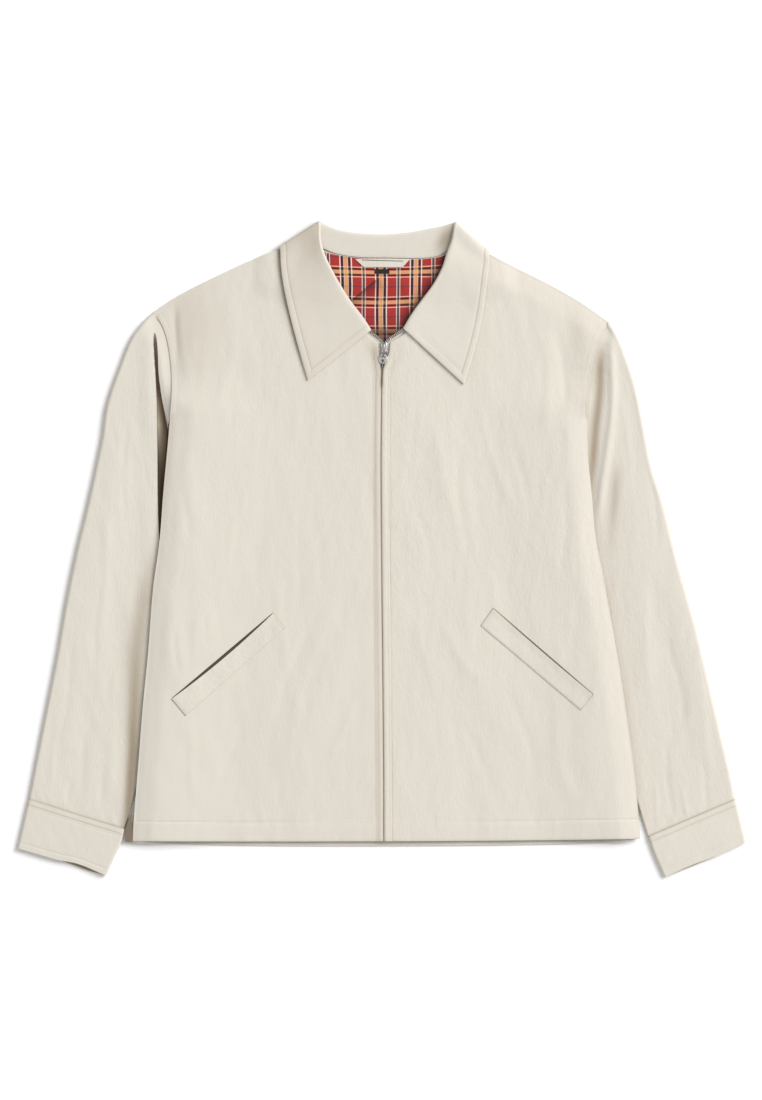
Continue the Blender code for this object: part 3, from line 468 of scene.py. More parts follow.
def frontTop(x, y):
    return frontUnder(x, y) + cloth["shellWall"] + frontRelief(x, y)


def panelEdges(side):
    shape = bodyShape
    split = cloth["armholeShare"]
    inner = joinedCurve(shape[side + "Centre"], shape[side + "Neckline"], split)
    outer = joinedCurve(shape[side + "Side"], shape[side + "Armhole"], split)
    return inner, outer


def makeFront(side):
    inner, outer = panelEdges(side)
    hem, shoulder = bodyShape[side + "Hem"], bodyShape[side + "Shoulder"]
    look = frontLook
    across = spacedShares(look["step"], 280.0, (look["centreLines"], look["edgeLines"]))
    upward = spacedShares(look["step"] * 1.15, 640.0, (look["hemLines"], (0.6, 1.5, 3, 5)))
    places = patchGrid(curveOf(hem), curveOf(shoulder), inner, outer, across, upward)
    x, y = places[..., 0], places[..., 1]
    edge = sampled(bodyShape[side + "Centre"]) + sampled(bodyShape[side + "Neckline"])[1:]
    fromCentre = awayFromCurve(x, y, sampled(bodyShape[side + "Centre"]))
    fromHem = awayFromCurve(x, y, sampled(hem, 8))
    fromSide = awayFromCurve(x, y, sampled(bodyShape[side + "Side"]))
    fromArmhole = awayFromCurve(x, y, sampled(bodyShape[side + "Armhole"]))
    fromShoulder = awayFromCurve(x, y, sampled(shoulder))
    fromEdge = awayFromCurve(x, y, edge)
    z = frontUnder(x, y) + frontRelief(x, y)
    stripHigh = look["stripHigh"][0 if side == "left" else 1]
    straight = smoothStep((236 - y) / 10)
    z += straight * stripHigh * smoothStep((look["stripWide"] + 0.3 - fromCentre) / 0.9)
    z += straight * seamGroove(fromCentre, look["stripWide"] - look["stripSeamIn"], 0.5, 0.7)
    hemStep = look["hemHigh"] * smoothStep((look["hemDeep"] - fromHem) / 1.2)
    z += hemStep + seamGroove(fromHem, look["hemDeep"], 0.42, 0.8)
    z += look["pucker"] * (drift(x, y, 5.5, 60, 9) * spot(fromHem - look["hemDeep"], look["puckerReach"]))
    closing = cloth["edgeLoft"] + cloth["seamGap"] - 0.05
    z -= closing * (1 - smoothStep(np.minimum(fromSide, fromShoulder) / 8))
    near, far = look["armholeSeams"]
    z += seamGroove(fromArmhole, far, 0.3, 0.8) + seamGroove(fromArmhole, near, 0.25, 0.8)
    rim = np.minimum(np.minimum(fromSide, fromEdge), fromHem)
    z -= look["rimDrop"] * (1 - smoothStep(rim / look["rimWide"]))
    if side == "left":   # sewn to the sleeve, so almost no step
        z -= 0.5 * (1 - smoothStep(fromArmhole / 1.3)) * smoothStep((y - 150) / 25)
    floorLevel = backLift(x, y) + cloth["shellWall"] + 0.05
    z = np.maximum(z, floorLevel)
    points = inMetres(x, y, z)
    crinkled = 0.85 + 0.3 * drift(x, y, 120, 160, 71) - (0.4 if side == "left" else 0)
    made = meshObject("front" + side.capitalize(), points.reshape(-1, 3),
                      gridFaces(len(upward), len(across), turned=side == "left"), stoneCloth,
                      places.reshape(-1, 2) * mm, crinkled)
    shade = sum(amount * np.exp(-(((x - sx) / wide) ** 2 + ((y - sy) / tall) ** 2))
                for sx, sy, wide, tall, amount in look["shades"])
    if side == "left":
        amount, half = look["sideShade"]
        shade = shade + amount * spot(fromSide, half) * smoothStep((y - 10) / 60)
    # the parted edges just below the slider, and the soft groove beside each folded edge
    amount, half = look["partedShade"]
    shade = shade + amount * spot(fromCentre, half) * smoothStep((218 - y) / 5) * smoothStep((y - 176) / 18)
    amount, half = look["centreShade"]
    shade = np.maximum(shade, amount * spot(fromCentre, half) * smoothStep((218 - y) / 8))
    groove, half, amount = look["grooveShade"][side]
    shade = shade + amount * spot(fromCentre - groove, half) * smoothStep((222 - y) / 12)
    if side == "left":   # beside the collar leaf's outer edge
        leafEdge = sampled([(row[4], row[5]) for row in collarLook["collarSections"][:8]], 40)
        amount, half = look["leafShade"]
        shade = shade + amount * spot(awayFromCurve(x, y, leafEdge), half) * smoothStep((y - 200) / 40)
    paintShade(made, np.clip(shade, 0, look["mostShade"]))
    return thicken(made, cloth["shellWall"], 1, 0.45)


backLook = {
    "cornerOut": (9.3, 7.6), "cornerEnd": (-283.7, -297.0), "cornerShade": 0.76,
    "shoulderShare": 0.34,            # of the top edge, at each end
    "step": 6.0, "hemLines": (0.5, 1.2, 2.4, 5, 10, 18, 21.4, 22.3, 23.2, 27), "crinkle": 0.12,
}


def makeBack():
    shape = bodyShape
    neckShare = backLook["shoulderShare"]
    split = cloth["armholeShare"]

    def top(shares):
        left = curveAt(shape["leftShoulder"][::-1], np.clip(shares / neckShare, 0, 1))
        right = curveAt(shape["rightShoulder"], np.clip((shares - 1 + neckShare) / neckShare, 0, 1))
        middle = curveAt(shape["backNeck"], np.clip((shares - neckShare) / (1 - 2 * neckShare), 0, 1))
        s = shares[:, None]
        return np.where(s < neckShare, left, np.where(s > 1 - neckShare, right, middle))

    # its left hem corner shows beside the front's
    leftSide = [(x - out, y) for (x, y), out in zip(shape["leftSide"], backLook["cornerOut"])]
    leftSide.append(backLook["cornerEnd"])
    leftSide += shape["leftSide"][2:]
    hem = [(leftSide[0][0], leftSide[0][1] - 0.8)] + shape["backHem"][1:]
    leftSide[0] = hem[0]
    left = joinedCurve(leftSide, shape["leftArmhole"], split)
    right = joinedCurve(shape["rightSide"], shape["rightArmhole"], split)
    across = spacedShares(backLook["step"], 560.0, ((0.5, 1.2, 2.4, 4), (0.5, 1.2, 2.4, 4)))
    across = np.unique(np.concatenate([across, [neckShare, 1 - neckShare]]))
    upward = spacedShares(backLook["step"], 640.0, (backLook["hemLines"], (0.8, 2)))
    places = patchGrid(curveOf(hem), top, left, right, across, upward)
    x, y = places[..., 0], places[..., 1]
    lift = backLift(x, y)
    fromHem = awayFromCurve(x, y, sampled(shape["backHem"]))
    sway = backLook["crinkle"] * (1 + drift(x, y, 9, 30, 21, 0.1))  # up only: it rests on the surface
    z = lift + sway * smoothStep(lift / 0.5) + 0.28 * smoothStep((3 - fromHem) / 3)
    points = inMetres(x, y, z)
    made = meshObject("backPanel", points.reshape(-1, 3), gridFaces(len(upward), len(across)), stoneCloth,
                      places.reshape(-1, 2) * mm)
    # painted shade on that corner, which lies in the sleeve's shadow
    paintShade(made, backLook["cornerShade"] * smoothStep((-283 - x) / 4) * smoothStep((-292 - y) / 14))
    return thicken(made, cloth["shellWall"] - 0.1, 1, 0.45)


sleeveLook = {
    "leftSleeveOuter": [
        (-262.4, 272.2), (-276, 259), (-287, 244), (-296, 223.6),
        (-315.7, 167.2), (-321.4, 129.3), (-337.5, 53.4), (-350.8, -1.8),
        (-362.8, -60.5), (-372.7, -119.1), (-383, -172), (-394.7, -230.7),
        (-405.6, -287.4),
    ],
    "leftSleeveInner": [
        (-244.4, 152), (-248.2, 121), (-247, 92), (-243, 60),
        (-245, 0), (-252, -60), (-260, -125), (-268, -190),
        (-277, -255), (-295.2, -322),
    ],
    "rightSleeveOuter": [
        (262, 260.6), (272, 243.7), (281.9, 219.5), (291.5, 189.1),
        (299.6, 151.1), (311.1, 92.5), (322.6, 56.8), (339.8, -12.2),
        (361.7, -90.4), (382.4, -178.9), (399.6, -252.5), (406.8, -287.9),
    ],
    "rightSleeveInner": [
        (237.5, 152), (232.5, 120), (231, 65), (238, 0),
        (248, -60), (260, -125), (272, -190), (286, -262),
        (306.2, -331),
    ],
    "leftCuffSeam": [
        (-405.6, -287.4), (-350, -305.2), (-295.2, -322),
    ],
    "rightCuffSeam": [
        (406.8, -287.9), (356, -309.6), (306.2, -331),
    ],
    # share of the length, thickness at the outer side, at the inner side
    "heights": [
        (0, 5.3, 5.2), (0.004, 5.7, 5.6), (0.012, 6.4, 6), (0.03, 7, 6.2), (0.1, 7.2, 5.6), (0.2, 7.2, 4.2),
        (0.26, 7.2, 4), (0.5, 7.2, 4),
        (0.85, 6.8, 4), (0.99, 6.2, 4.6), (1, 5.9, 4.5),
    ],
    "folds": [
        (-300, 120, -330, -60, 16, 0.7), (-318, -80, -345, -220, 14, 0.7), (300, 60, 330, -90, 16, 0.7),
        (-270, 240, -268, 120, 6, 0.9), (-284, 100, -284, -60, 8, -1), (-300, 30, -312, -180, 9, -0.7),
        (-266, -40, -272, -200, 9, 0.8), (-330, -120, -352, -270, 9, -0.6),
        (262, 0, 258, -70, 7, -0.6),
        (284, 200, 300, 60, 9, -0.6), (290, 20, 304, -150, 10, 0.8), (318, -60, 344, -240, 10, -0.7),
        (340, -40, 372, -230, 9, 0.6),
    ],
    # narrow ones. Columns: start x, y, end x, y, half width, height, wander
    "creases": [
        (-292, 150, -300, 20, 4, -0.45, 3), (-308, 60, -330, -100, 4.5, 0.45, 4),
        (-320, -20, -332, -160, 4, -0.4, 3),
        (-352, -90, -376, -250, 4.5, -0.4, 3), (-300, -120, -318, -300, 5, 0.45, 4),
        (-336, -190, -350, -296, 4, -0.5, 2),
        (-372, -210, -384, -286, 3.5, 0.45, 1.5), (-318, -240, -326, -306, 3, -0.5, 1.5),
        (-356, -262, -362, -298, 2.4, -0.6, 1),
        (276, 190, 286, 60, 4.5, 0.4, 3), (304, 110, 322, -20, 4, -0.45, 3),
        (298, -30, 316, -190, 5, 0.45, 4),
        (330, -90, 350, -230, 4.5, -0.45, 4), (360, -130, 384, -270, 4.5, 0.4, 3),
        (326, -220, 336, -318, 3.5, -0.5, 2),
        (368, -240, 376, -300, 2.8, -0.5, 1.2), (346, -270, 351, -312, 2.4, 0.5, 1),
        (314, -262, 318, -326, 2.6, 0.45, 1),
        (250, 236, 268, 230, 1.8, -0.5, 0.5), (250, 222, 270, 214, 1.8, -0.45, 0.5),
        (248, 206, 266, 199, 1.7, -0.4, 0.5),
    ],
    # the dark slit beside the left armhole: x, y, half width, depth as a share
    "slit": [
        (-261.4, 252, 0.5, 0), (-261, 243, 1.2, 0.55), (-258.8, 216.7, 2, 1), (-253.9, 184.5, 2.6, 1),
        (-250.6, 151.7, 3.2, 1), (-249.6, 125.8, 4.2, 1), (-252.4, 80, 4.6, 1), (-254.6, 52, 3.6, 0.9),
        (-256, 30, 2.2, 0.45), (-257, 8, 1.4, 0),
    ],
    # shade beside the body: y, amount, distance from the body's edge, half width
    "leftShade": [
        (20, 0, 5, 6), (-12, 0.12, 6, 8), (-60, 0.26, 10, 10), (-116, 0.36, 14, 11), (-180, 0.48, 10, 8.5),
        (-231, 0.60, 8, 6.5), (-300, 0.60, 7, 6),
    ],
    # the fold beside the right armhole: its ridge and the valley at each side, half width, height or shade
    "rightRidge": ([(263.9, 254.6), (265.0, 217.8), (266.2, 171.8), (261.6, 125.8), (255.9, 87.9),
                    (251.3, 56.8), (247.0, 20.0)], 4.6, 2.3),
    "rightValleys": [
        ([(252.5, 244), (251.6, 206.3), (250.7, 179.9), (246.7, 145.4), (243.5, 108.6), (240, 70),
          (238, 30)], 5, 0.46),
        ([(272.5, 110), (269.7, 91.3), (267.4, 56.8), (264.5, 20), (262, -30)], 5.5, 0.24),
    ],
    "around": 150, "along": 132,
    "edgeShare": 0.78,
    "crinkle": 0.16, "sway": 0.45, "puckers": 0.35,
    "armholeGap": 0.85, "armholeTuck": 1.0,
    "slitDeep": 1.2, "valleyDeep": 2.2, "underCrinkle": 0.18,
    # the right inner corner goes on under the body: how far, and the share of it for the last points
    "cornerIn": (-3.6, -3.5), "cornerShares": ((3, 0.12), (2, 0.45), (1, 1.0)),
    # closer rows at both ends, as shares of the length
    "closeRows": [
        0.001, 0.002, 0.0035, 0.005, 0.011, 0.016, 0.022, 0.975, 0.982, 0.986, 0.989, 0.995, 0.9975, 0.999,
    ],
    "armholeShade": {"left": 0.16, "right": 0.08}, "cuffShade": (0.3, 1.6), "bodyShade": (0.12, 8.0),
    "mostShade": 0.7,
}


def movedOut(points, gap):
    moved = []
    for i, (x, y) in enumerate(points):
        before, after = points[max(0, i - 1)], points[min(len(points) - 1, i + 1)]
        run = np.array([after[0] - before[0], after[1] - before[1]])
        run /= np.linalg.norm(run)
        moved.append((x + run[1] * gap, y - run[0] * gap))
    return moved


def slitDepth(x, y):
    # 0 outside, 1 in the middle of the slit
    table = np.array(sleeveLook["slit"])
    rows = sampled(table[:, :2], 60)
    depth = np.zeros(np.shape(x))
    lengths = np.concatenate([[0], np.cumsum(np.hypot(*np.diff(table[:, :2], axis=0).T))])
    for i, (start, end) in enumerate(zip(rows, rows[1:])):
        away = awayFromLine(x, y, *start, *end)[0]
        place = (i + 0.5) / (len(rows) - 1) * lengths[-1]
        half = np.interp(place, lengths, table[:, 2])
        deep = np.interp(place, lengths, table[:, 3])
        depth = np.maximum(depth, deep * smoothStep(1 - (away / (half * 1.5) - 0.15)))
    return depth


def heightsAt(heights, upward, column):
    # column 1 is the outer side, 2 the inner side
    rows = np.array(heights, float)
    return np.interp(upward, rows[:, 0], rows[:, column])[:, None]


def tubeWay(ring, upward, tall):
    # each point's place on the cut cloth: round the tube, and up it
    around = np.cumsum(np.r_[0, np.linalg.norm(np.diff(ring, axis=0), axis=1)])
    return np.stack([around[None, :].repeat(len(upward), 0),
                     (-upward[:, None] * tall).repeat(len(ring), 1)], -1)


def flatTube(places, shares, upward, heights, wall, topLift, ring):
    # a cloth tube that lies flat: places has one row for each share upward, from the outer to the inner edge
    half = ring // 2
    top = np.arange(ring) < half
    share = shares[None, :]
    outerHigh, innerHigh = heightsAt(heights, upward, 1), heightsAt(heights, upward, 2)
    high = outerHigh + (innerHigh - outerHigh) * np.minimum(1, share / sleeveLook["edgeShare"])
    wide = np.linalg.norm(places[:, :1] - places[:, half - 1:half], axis=-1)
    edge = np.minimum(share, 1 - share) * wide
    bulge = np.minimum(1, edge / (high / 2))
    rise = high / 2 * np.sqrt(np.maximum(0, 1 - (1 - bulge) ** 2))
    z = high / 2 + np.where(top, rise, -rise)
    lowest = np.minimum(0, 2 * wall + cloth["seamGap"] - high)
    fade = np.minimum(1, edge / high)
    z = z + np.where(top, fade * np.maximum(lowest, topLift), 0)
    return np.stack([places[..., 0], places[..., 1], z], -1)


def tubeShares(ring):
    turn = 2 * math.pi * (np.arange(ring) + 0.5) / ring
    return (1 - np.cos(turn)) / 2


def valleyAt(x, y, curve, half):
    # 1 along a valley's middle, fading to its sides and ends
    ends = smoothStep((curve[0][1] - y) / 40) * smoothStep((y - curve[-1][1]) / 90)
    return spot(awayFromCurve(x, y, sampled(curve, 12)), half), ends


def makeSleeve(side):
    look = sleeveLook
    sign = 1 if side == "right" else -1
    armhole = sampled(bodyShape[side + "Armhole"], 40)
    capLow = movedOut(armhole, look["armholeGap"] * sign)[::-1]
    capHigh = movedOut(armhole, -look["armholeTuck"] * sign)[::-1]
    seam = look[side + "CuffSeam"]
    shares = tubeShares(look["around"])
    upward = np.unique(np.concatenate([np.linspace(0, 1, look["along"] + 1), look["closeRows"]]))
    order = np.argsort(shares)
    grids = []
    for cap in (capLow, capHigh):
        if side == "right":
            for fromEnd, share in look["cornerShares"]:
                inX, inY = look["cornerIn"]
                cap[-fromEnd] = (cap[-fromEnd][0] + inX * share, cap[-fromEnd][1] + inY * share)
        outer = [cap[0]] + look[side + "SleeveOuter"][1:]
        inner = [cap[-1]] + look[side + "SleeveInner"][1:]
        grid = patchGrid(curveOf(cap), curveOf(seam),
                         curveOf(outer), curveOf(inner), shares[order], upward)
        unsorted = np.empty_like(grid)
        unsorted[:, order] = grid
        grids.append(unsorted)
    top = (np.arange(look["around"]) < look["around"] // 2)[None, :, None]
    tuck = (1 - smoothStep(upward / 0.02))[:, None, None]
    places = np.where(top, grids[0] + (grids[1] - grids[0]) * tuck, grids[0])
    x, y = places[..., 0], places[..., 1]
    fromSeam = awayFromCurve(x, y, sampled(seam, 8))
    lift = foldSum(x, y, look["folds"]) + creaseSum(x, y, look["creases"])
    lift += look["crinkle"] * (drift(x, y, 8, 26, 15, 0.28 * sign) + drift(x, y, 13, 36, 16, 0.1 * sign))
    lift += look["sway"] * drift(x, y, 34, 90, 17, 0.25 * sign)
    lift *= smoothStep(upward / 0.03)[:, None] * smoothStep(fromSeam / 6)
    nearSeam = smoothStep((28 - fromSeam) / 22)
    lift += look["puckers"] * drift(x, y, 6.5, 200, 18, 0.3 * sign) * nearSeam * smoothStep(fromSeam / 4)
    if side == "left":
        lift -= look["slitDeep"] * slitDepth(x, y)
    else:
        curve, half, high = look["rightRidge"]
        ridge = high * spot(awayFromCurve(x, y, sampled(curve, 12)), half)
        lift += ridge * smoothStep((curve[0][1] - y) / 45) * smoothStep((y - 12) / 60)
        for curve, half, amount in look["rightValleys"]:
            middle, ends = valleyAt(x, y, curve, half)
            lift -= look["valleyDeep"] * amount * middle * ends
    # the top layer is sewn to the front's edge, so it starts just under it
    outerHigh = heightsAt(look["heights"], upward, 1)
    lift += (frontUnder(x, y) - 0.15 - outerHigh) * (1 - smoothStep(upward / 0.045))[:, None]
    points = flatTube(places, shares, upward, look["heights"], cloth["shellWall"], lift, look["around"])
    # underneath, shallow creases that stay clear of the surface
    under = ~top[..., 0]
    fade = smoothStep(np.minimum(shares, 1 - shares) / 0.08)[None, :]
    shallow = fade * look["underCrinkle"] * (1 + drift(x, y, 12, 40, 19)) * smoothStep(upward / 0.05)[:,
        None]
    points[..., 2] += np.where(under, shallow, 0)
    points *= 0.001
    way = tubeWay(points[60], upward, 0.55)
    made = meshObject("sleeve" + side.capitalize(), points.reshape(-1, 3),
                      gridFaces(len(upward), look["around"], True, side == "left"), stoneCloth,
                      way.reshape(-1, 2), 0.75)
    # shade in the seams and under the body's lifted side
    fromArmhole = awayFromCurve(x, y, armhole)
    fromSide = awayFromCurve(x, y, sampled(bodyShape[side + "Side"]))
    seamShade, seamHalf = look["cuffShade"]
    shade = look["armholeShade"][side] * spot(fromArmhole - 0.5, 0.8) + seamShade * spot(fromSeam, seamHalf)
    if side == "left":
        rows = np.array(look["leftShade"])
        amount, centre, half = [np.interp(-y, -rows[:, 0], rows[:, column]) for column in (1, 2, 3)]
        shade += amount * spot(fromSide - centre, half)
    else:
        for curve, half, amount in look["rightValleys"]:
            middle, ends = valleyAt(x, y, curve, half)
            shade += amount * middle * ends
        amount, half = look["bodyShade"]
        shade += amount * spot(np.minimum(fromArmhole, fromSide), half) * smoothStep((250 - y) / 40)
    paintShade(made, np.clip(shade, 0, look["mostShade"]) * top[..., 0])
    return thicken(made, cloth["shellWall"], -1), points


# a strip of painted shade laid on the sleeve, where the fold beside the left armhole is dark. Rows: left x,
# right x, y, shade at the left, at the right
slitLook = {
    "rows": [
        (-261, -260.2, 248.9, 0.35, 0.30), (-261.7, -258.4, 241, 0.60, 0.50),
        (-261, -257.2, 224, 0.80, 0.62),
        (-259.9, -256.6, 206.3, 0.90, 0.80), (-259, -254.7, 188, 0.80, 0.92),
        (-258.1, -251.6, 168.4, 0.35, 0.92),
        (-257.8, -246.6, 143.1, 0.12, 0.92), (-257.5, -242.6, 116.6, 0.45, 0.85),
        (-257.3, -243.5, 93.6, 0.80, 0.62),
        (-257.1, -245.5, 68.3, 0.92, 0.72), (-256.7, -249, 39.6, 0.95, 0.85),
        (-255.6, -253, 10.8, 0.80, 0.80),
    ],
    "across": 9, "along": 90, "wall": 0.15,
    "above": 0.12,                    # over the sleeve's own surface
    "reach": 3.2,                     # how far around each point the sleeve's top is looked for
}


def makeSlitShade(sleevePoints):
    look = slitLook
    rows = np.array(look["rows"])
    runs = [curveAt(rows[:, [column, 2]], np.linspace(0, 1, look["along"])) for column in (0, 1)]
    shares = np.linspace(0, 1, look["across"])[None, :, None]
    places = runs[0][:, None] * (1 - shares) + runs[1][:, None] * shares
    spots = sleevePoints.reshape(-1, 3) * 1000
    spots = spots[(spots[:, 0] > -275) & (spots[:, 1] > -20) & (spots[:, 1] < 262)]
    flat = places.reshape(-1, 2)
    high = np.empty(len(flat))
    for i, (px, py) in enumerate(flat):
        near = np.hypot(spots[:, 0] - px, spots[:, 1] - py) < look["reach"]
        high[i] = spots[near, 2].max() if near.any() else 0
    kept = high > 0
    high[~kept] = high[kept].min()
    # a dark strip of painted shade, laid just over the sleeve's top
    made = meshObject("sleeveSlitShade", np.column_stack([flat, high + look["above"]]) * mm,
                      gridFaces(look["along"], look["across"], turned=True), stoneCloth, flat * mm, 0.3)
    middle = places[..., 1]
    left, right = np.interp(-middle, -rows[:, 2], rows[:, 3]), np.interp(-middle, -rows[:, 2], rows[:, 4])
    shade = 1 - (1 - left * (1 - shares[..., 0]) - right * shares[..., 0]) ** 2.6
    paintShade(made, shade)
    return thicken(made, look["wall"], 1)


cuffLook = {
    "left": {
        "top": [(-405.8, -288.1), (-350.2, -305.9), (-295.3, -322.7)],
        "outer": [(-405.8, -288.1), (-413.4, -320.0), (-419.0, -343.8)],
        "inner": [(-295.3, -322.7), (-299.6, -338.2), (-307.6, -354.9), (-316.5, -375.2)],
        "bottom": [(-419.0, -343.8), (-385.0, -353.8), (-361.4, -360.8), (-337.0, -369.8),
                   (-316.5, -375.2)],
    },
    "right": {
        "top": [(407.0, -288.6), (356.2, -310.3), (306.3, -331.7)],
        "outer": [(407.0, -288.6), (413.5, -313.0), (419.0, -336.6)],
        "inner": [(306.3, -331.7), (314.0, -352.0), (325.0, -377.0)],
        "bottom": [(419.0, -336.6), (375.0, -357.0), (325.0, -377.0)],
    },
    "heights": [(0, 6.3, 6.3), (0.5, 6.2, 6.2), (1, 6.2, 6.2)],
    "wall": 2.0,
    "around": 112, "along": 36,
    "stitchIn": 7.0,
    # where the mouth gapes: shares from the outer side, and how far
    "gape": {"left": (0.46, 0.99, 3.6), "right": (0.35, 0.95, 1.2)},
    "seamOverlap": 1.3,
    "closeRows": [0.008, 0.016, 0.024, 0.1, 0.115, 0.13, 0.15, 0.165, 0.18, 0.87, 0.885, 0.9, 0.985],
    "seamShade": (0.34, 0.9), "stitchShade": (0.13, 0.9),
    # the strip inside the mouth: shares of the lower edge, how deep, its rows and its wall
    "mouth": {"from": 0.44, "to": 0.985, "deep": (0.5, 7), "rows": 7, "wall": 0.15, "shade": (0.45, 0.9)},
}


def makeCuffMouth(side):
    # painted shade on a strip over the inside of the under layer, seen where the mouth gapes
    bottom, look = cuffLook[side]["bottom"], cuffLook["mouth"]
    sign = -1 if side == "left" else 1
    edge = curveAt(bottom, np.linspace(look["from"], look["to"], 60))
    run = np.gradient(edge, axis=0)
    run /= np.linalg.norm(run, axis=1)[:, None]
    inward = np.stack([-run[:, 1], run[:, 0]], -1) * -sign
    places = edge[:, None] + inward[:, None] * np.linspace(*look["deep"], look["rows"])[None, :, None]
    level = np.full(places.shape[:2] + (1,), cuffLook["wall"] + slitLook["above"])
    points = np.concatenate([places, level], -1) * mm
    made = meshObject("cuffMouth" + side.capitalize(), points.reshape(-1, 3),
                      gridFaces(len(edge), look["rows"], turned=sign > 0), stoneCloth,
                      places.reshape(-1, 2) * mm, 0.3)
    paintShade(made, np.tile(np.linspace(*look["shade"], look["rows"]), (len(edge), 1)))
    return thicken(made, look["wall"], 1)


def makeCuff(side):
    look = cuffLook
    edges = dict(look[side])
    edges["top"] = [(x, y + look["seamOverlap"]) for x, y in edges["top"]]
    edges["outer"] = [edges["top"][0]] + edges["outer"][1:]
    edges["inner"] = [edges["top"][-1]] + edges["inner"][1:]
    sign = 1 if side == "right" else -1
    shares = tubeShares(look["around"])
    upward = np.unique(np.concatenate([np.linspace(0, 1, look["along"] + 1), look["closeRows"]]))
    order = np.argsort(shares)
    grid = patchGrid(curveOf(edges["top"]), curveOf(edges["bottom"]),
                     curveOf(edges["outer"]), curveOf(edges["inner"]), shares[order], upward)
    places = np.empty_like(grid)
    places[:, order] = grid
    x, y = places[..., 0], places[..., 1]
    fromTop = awayFromCurve(x, y, sampled(edges["top"]))
    fromBottom = awayFromCurve(x, y, sampled(edges["bottom"]))
    lift = 0.25 * drift(x, y, 22, 22, 31) + 0.12 * drift(x, y, 7, 18, 32, 0.3 * sign)
    stitchIn = look["stitchIn"]
    lift += (seamGroove(fromTop, stitchIn, 0.3) + seamGroove(fromTop, stitchIn + 3, 0.2)
             + seamGroove(fromBottom, stitchIn, 0.3))
    lift += 0.25 * smoothStep((8 - fromTop) / 3)
    top = (np.arange(look["around"]) < look["around"] // 2)[None, :]
    points = flatTube(places, shares, upward, look["heights"], look["wall"], lift, look["around"])
    # the mouth gapes a little: the top edge draws back and the under edge shows
    back = np.array(edges["top"][1]) - np.array(edges["bottom"][1])
    back /= np.linalg.norm(back)
    start, end, most = look["gape"][side]
    gape = most * np.sin(math.pi * np.clip((shares - start) / (end - start), 0, 1))[None, :] ** 1.2
    upper = np.where(top, gape, 0) * smoothStep((upward - 0.6) / 0.4)[:, None]
    points[..., :2] += back * upper[..., None]
    points *= 0.001
    way = tubeWay(points[10], upward, 0.055)
    made = meshObject("cuff" + side.capitalize(), points.reshape(-1, 3),
                      gridFaces(len(upward), look["around"], True, side == "left"), stoneCloth,
                      way.reshape(-1, 2), 0.5)
    (seam, seamHalf), (stitched, stitchHalf) = look["seamShade"], look["stitchShade"]
    paintShade(made, (seam * spot(fromTop, seamHalf) + stitched * spot(fromTop - stitchIn, stitchHalf))
               * top)
    return thicken(made, look["wall"], -1, 0.5)


collarLook = {
    "collarSections": [
        (-17.9, 250.4, -12.5, 252, -84.5, 194.6, -1), (-29.8, 262, -21.6, 266.3, -92.2, 221, -1),
        (-44.5, 280.2, -35.5, 284.5, -99.8, 248.5, -1), (-57.5, 300, -48.5, 305, -105.5, 271, -1),
        (-67.5, 317, -59.5, 325, -110, 291, -1), (-74.5, 332.5, -67, 342, -113.6, 310, -1),
        (-77.6, 345, -70.6, 358, -115.6, 328, -1), (-78.6, 354.2, -70.7, 376.2, -117.6, 347.8, 0),
        (-69.3, 347.4, -58, 370, -100, 333, 1), (-49.5, 339.6, -42, 365, -72, 323, 1),
        (-25, 336.2, -20, 362.2, -36, 317.5, 1), (4, 335.5, 5, 361.4, 5, 316, 1),
        (36, 335, 34, 364, 46, 317.5, 1), (62, 336.9, 56, 368, 80, 322, 1),
        (77.6, 345.2, 74, 371.6, 108, 329, 1), (86.4, 352.8, 84.5, 375.2, 125.2, 341.8, 0),
        (83.5, 339, 81, 356, 123.6, 327, -1), (79.5, 326.5, 75, 338, 121.6, 311, -1),
        (73.5, 312, 70.3, 323.5, 119.2, 291, -1), (64, 295, 60.4, 305, 115.6, 268, -1),
        (52.2, 279.8, 47.6, 287.5, 111, 246, -1), (39.6, 264.5, 35.6, 271, 105.5, 224.4, -1),
        (27.6, 250.2, 25.5, 254, 94.9, 190.2, -1),
    ],
    "rollRadius": 1.9,
    "rollSteps": (-90, -30, 30, 90),
    "foldTurns": (-68.0, 0.0, 68.0),
    "leafSteps": 5, "standSteps": 2, "leafGap": 0.8,
    "standoff": [(0.0, 0.0), (0.5, 1.0), (0.85, 1.6), (1.0, 0.6)],
    "fine": 6,                        # finer steps between sections and between columns
    "stitchIn": 7.2,
    "wave": 0.35,
    "closeLines": (0.5, 1.2, 2.4, 4.4, 6.2, 6.8, 7.2, 7.6, 8.4, 10.5),   # mm in from the leaf's edges
    "clearEnds": 12.0,                # even rows start this far in from both fronts
    "middle": (0.33, 0.67),           # shares of the length where the leaf isn't seen
    "farAway": 99.0,                  # stands for no edge near
    "wayWide": 105.0,
    "edgeShade": (0.035, 0.05, 22.0), "stitchShade": (0.10, 0.9),
    # painted shade, softly darker at the top of the left leaf and inside the right end of the stand:
    # x, y, half width, half height, amount; the second leans to the right
    "leafShade": (-80.0, 374.0, 26.0, 58.0, 0.26), "standShade": (73.0, 357.0, 8.5, 16.0, 0.46),
    "standLean": 0.35,
}


def between(grid, steps, axis):
    # more rows on a smooth surface through a grid's own rows
    grid = np.moveaxis(np.asarray(grid, float), axis, 0)
    count = len(grid)
    rows = []
    for i in range(count - 1):
        before, start, end, after = grid[max(i - 1, 0)], grid[i], grid[i + 1], grid[min(i + 2, count - 1)]
        chord = np.linalg.norm(end - start, axis=-1, keepdims=True)
        leave = (end - before) * chord / np.maximum(np.linalg.norm(end - before, axis=-1, keepdims=True),
                                                    1e-6)
        arrive = (after - start) * chord / np.maximum(np.linalg.norm(after - start, axis=-1, keepdims=True),
                                                      1e-6)
        for step in range(steps):
            rows.append(smoothBetween(start, leave, end, arrive, step / steps))
    rows.append(grid[-1])
    return np.moveaxis(np.array(rows), 0, axis)


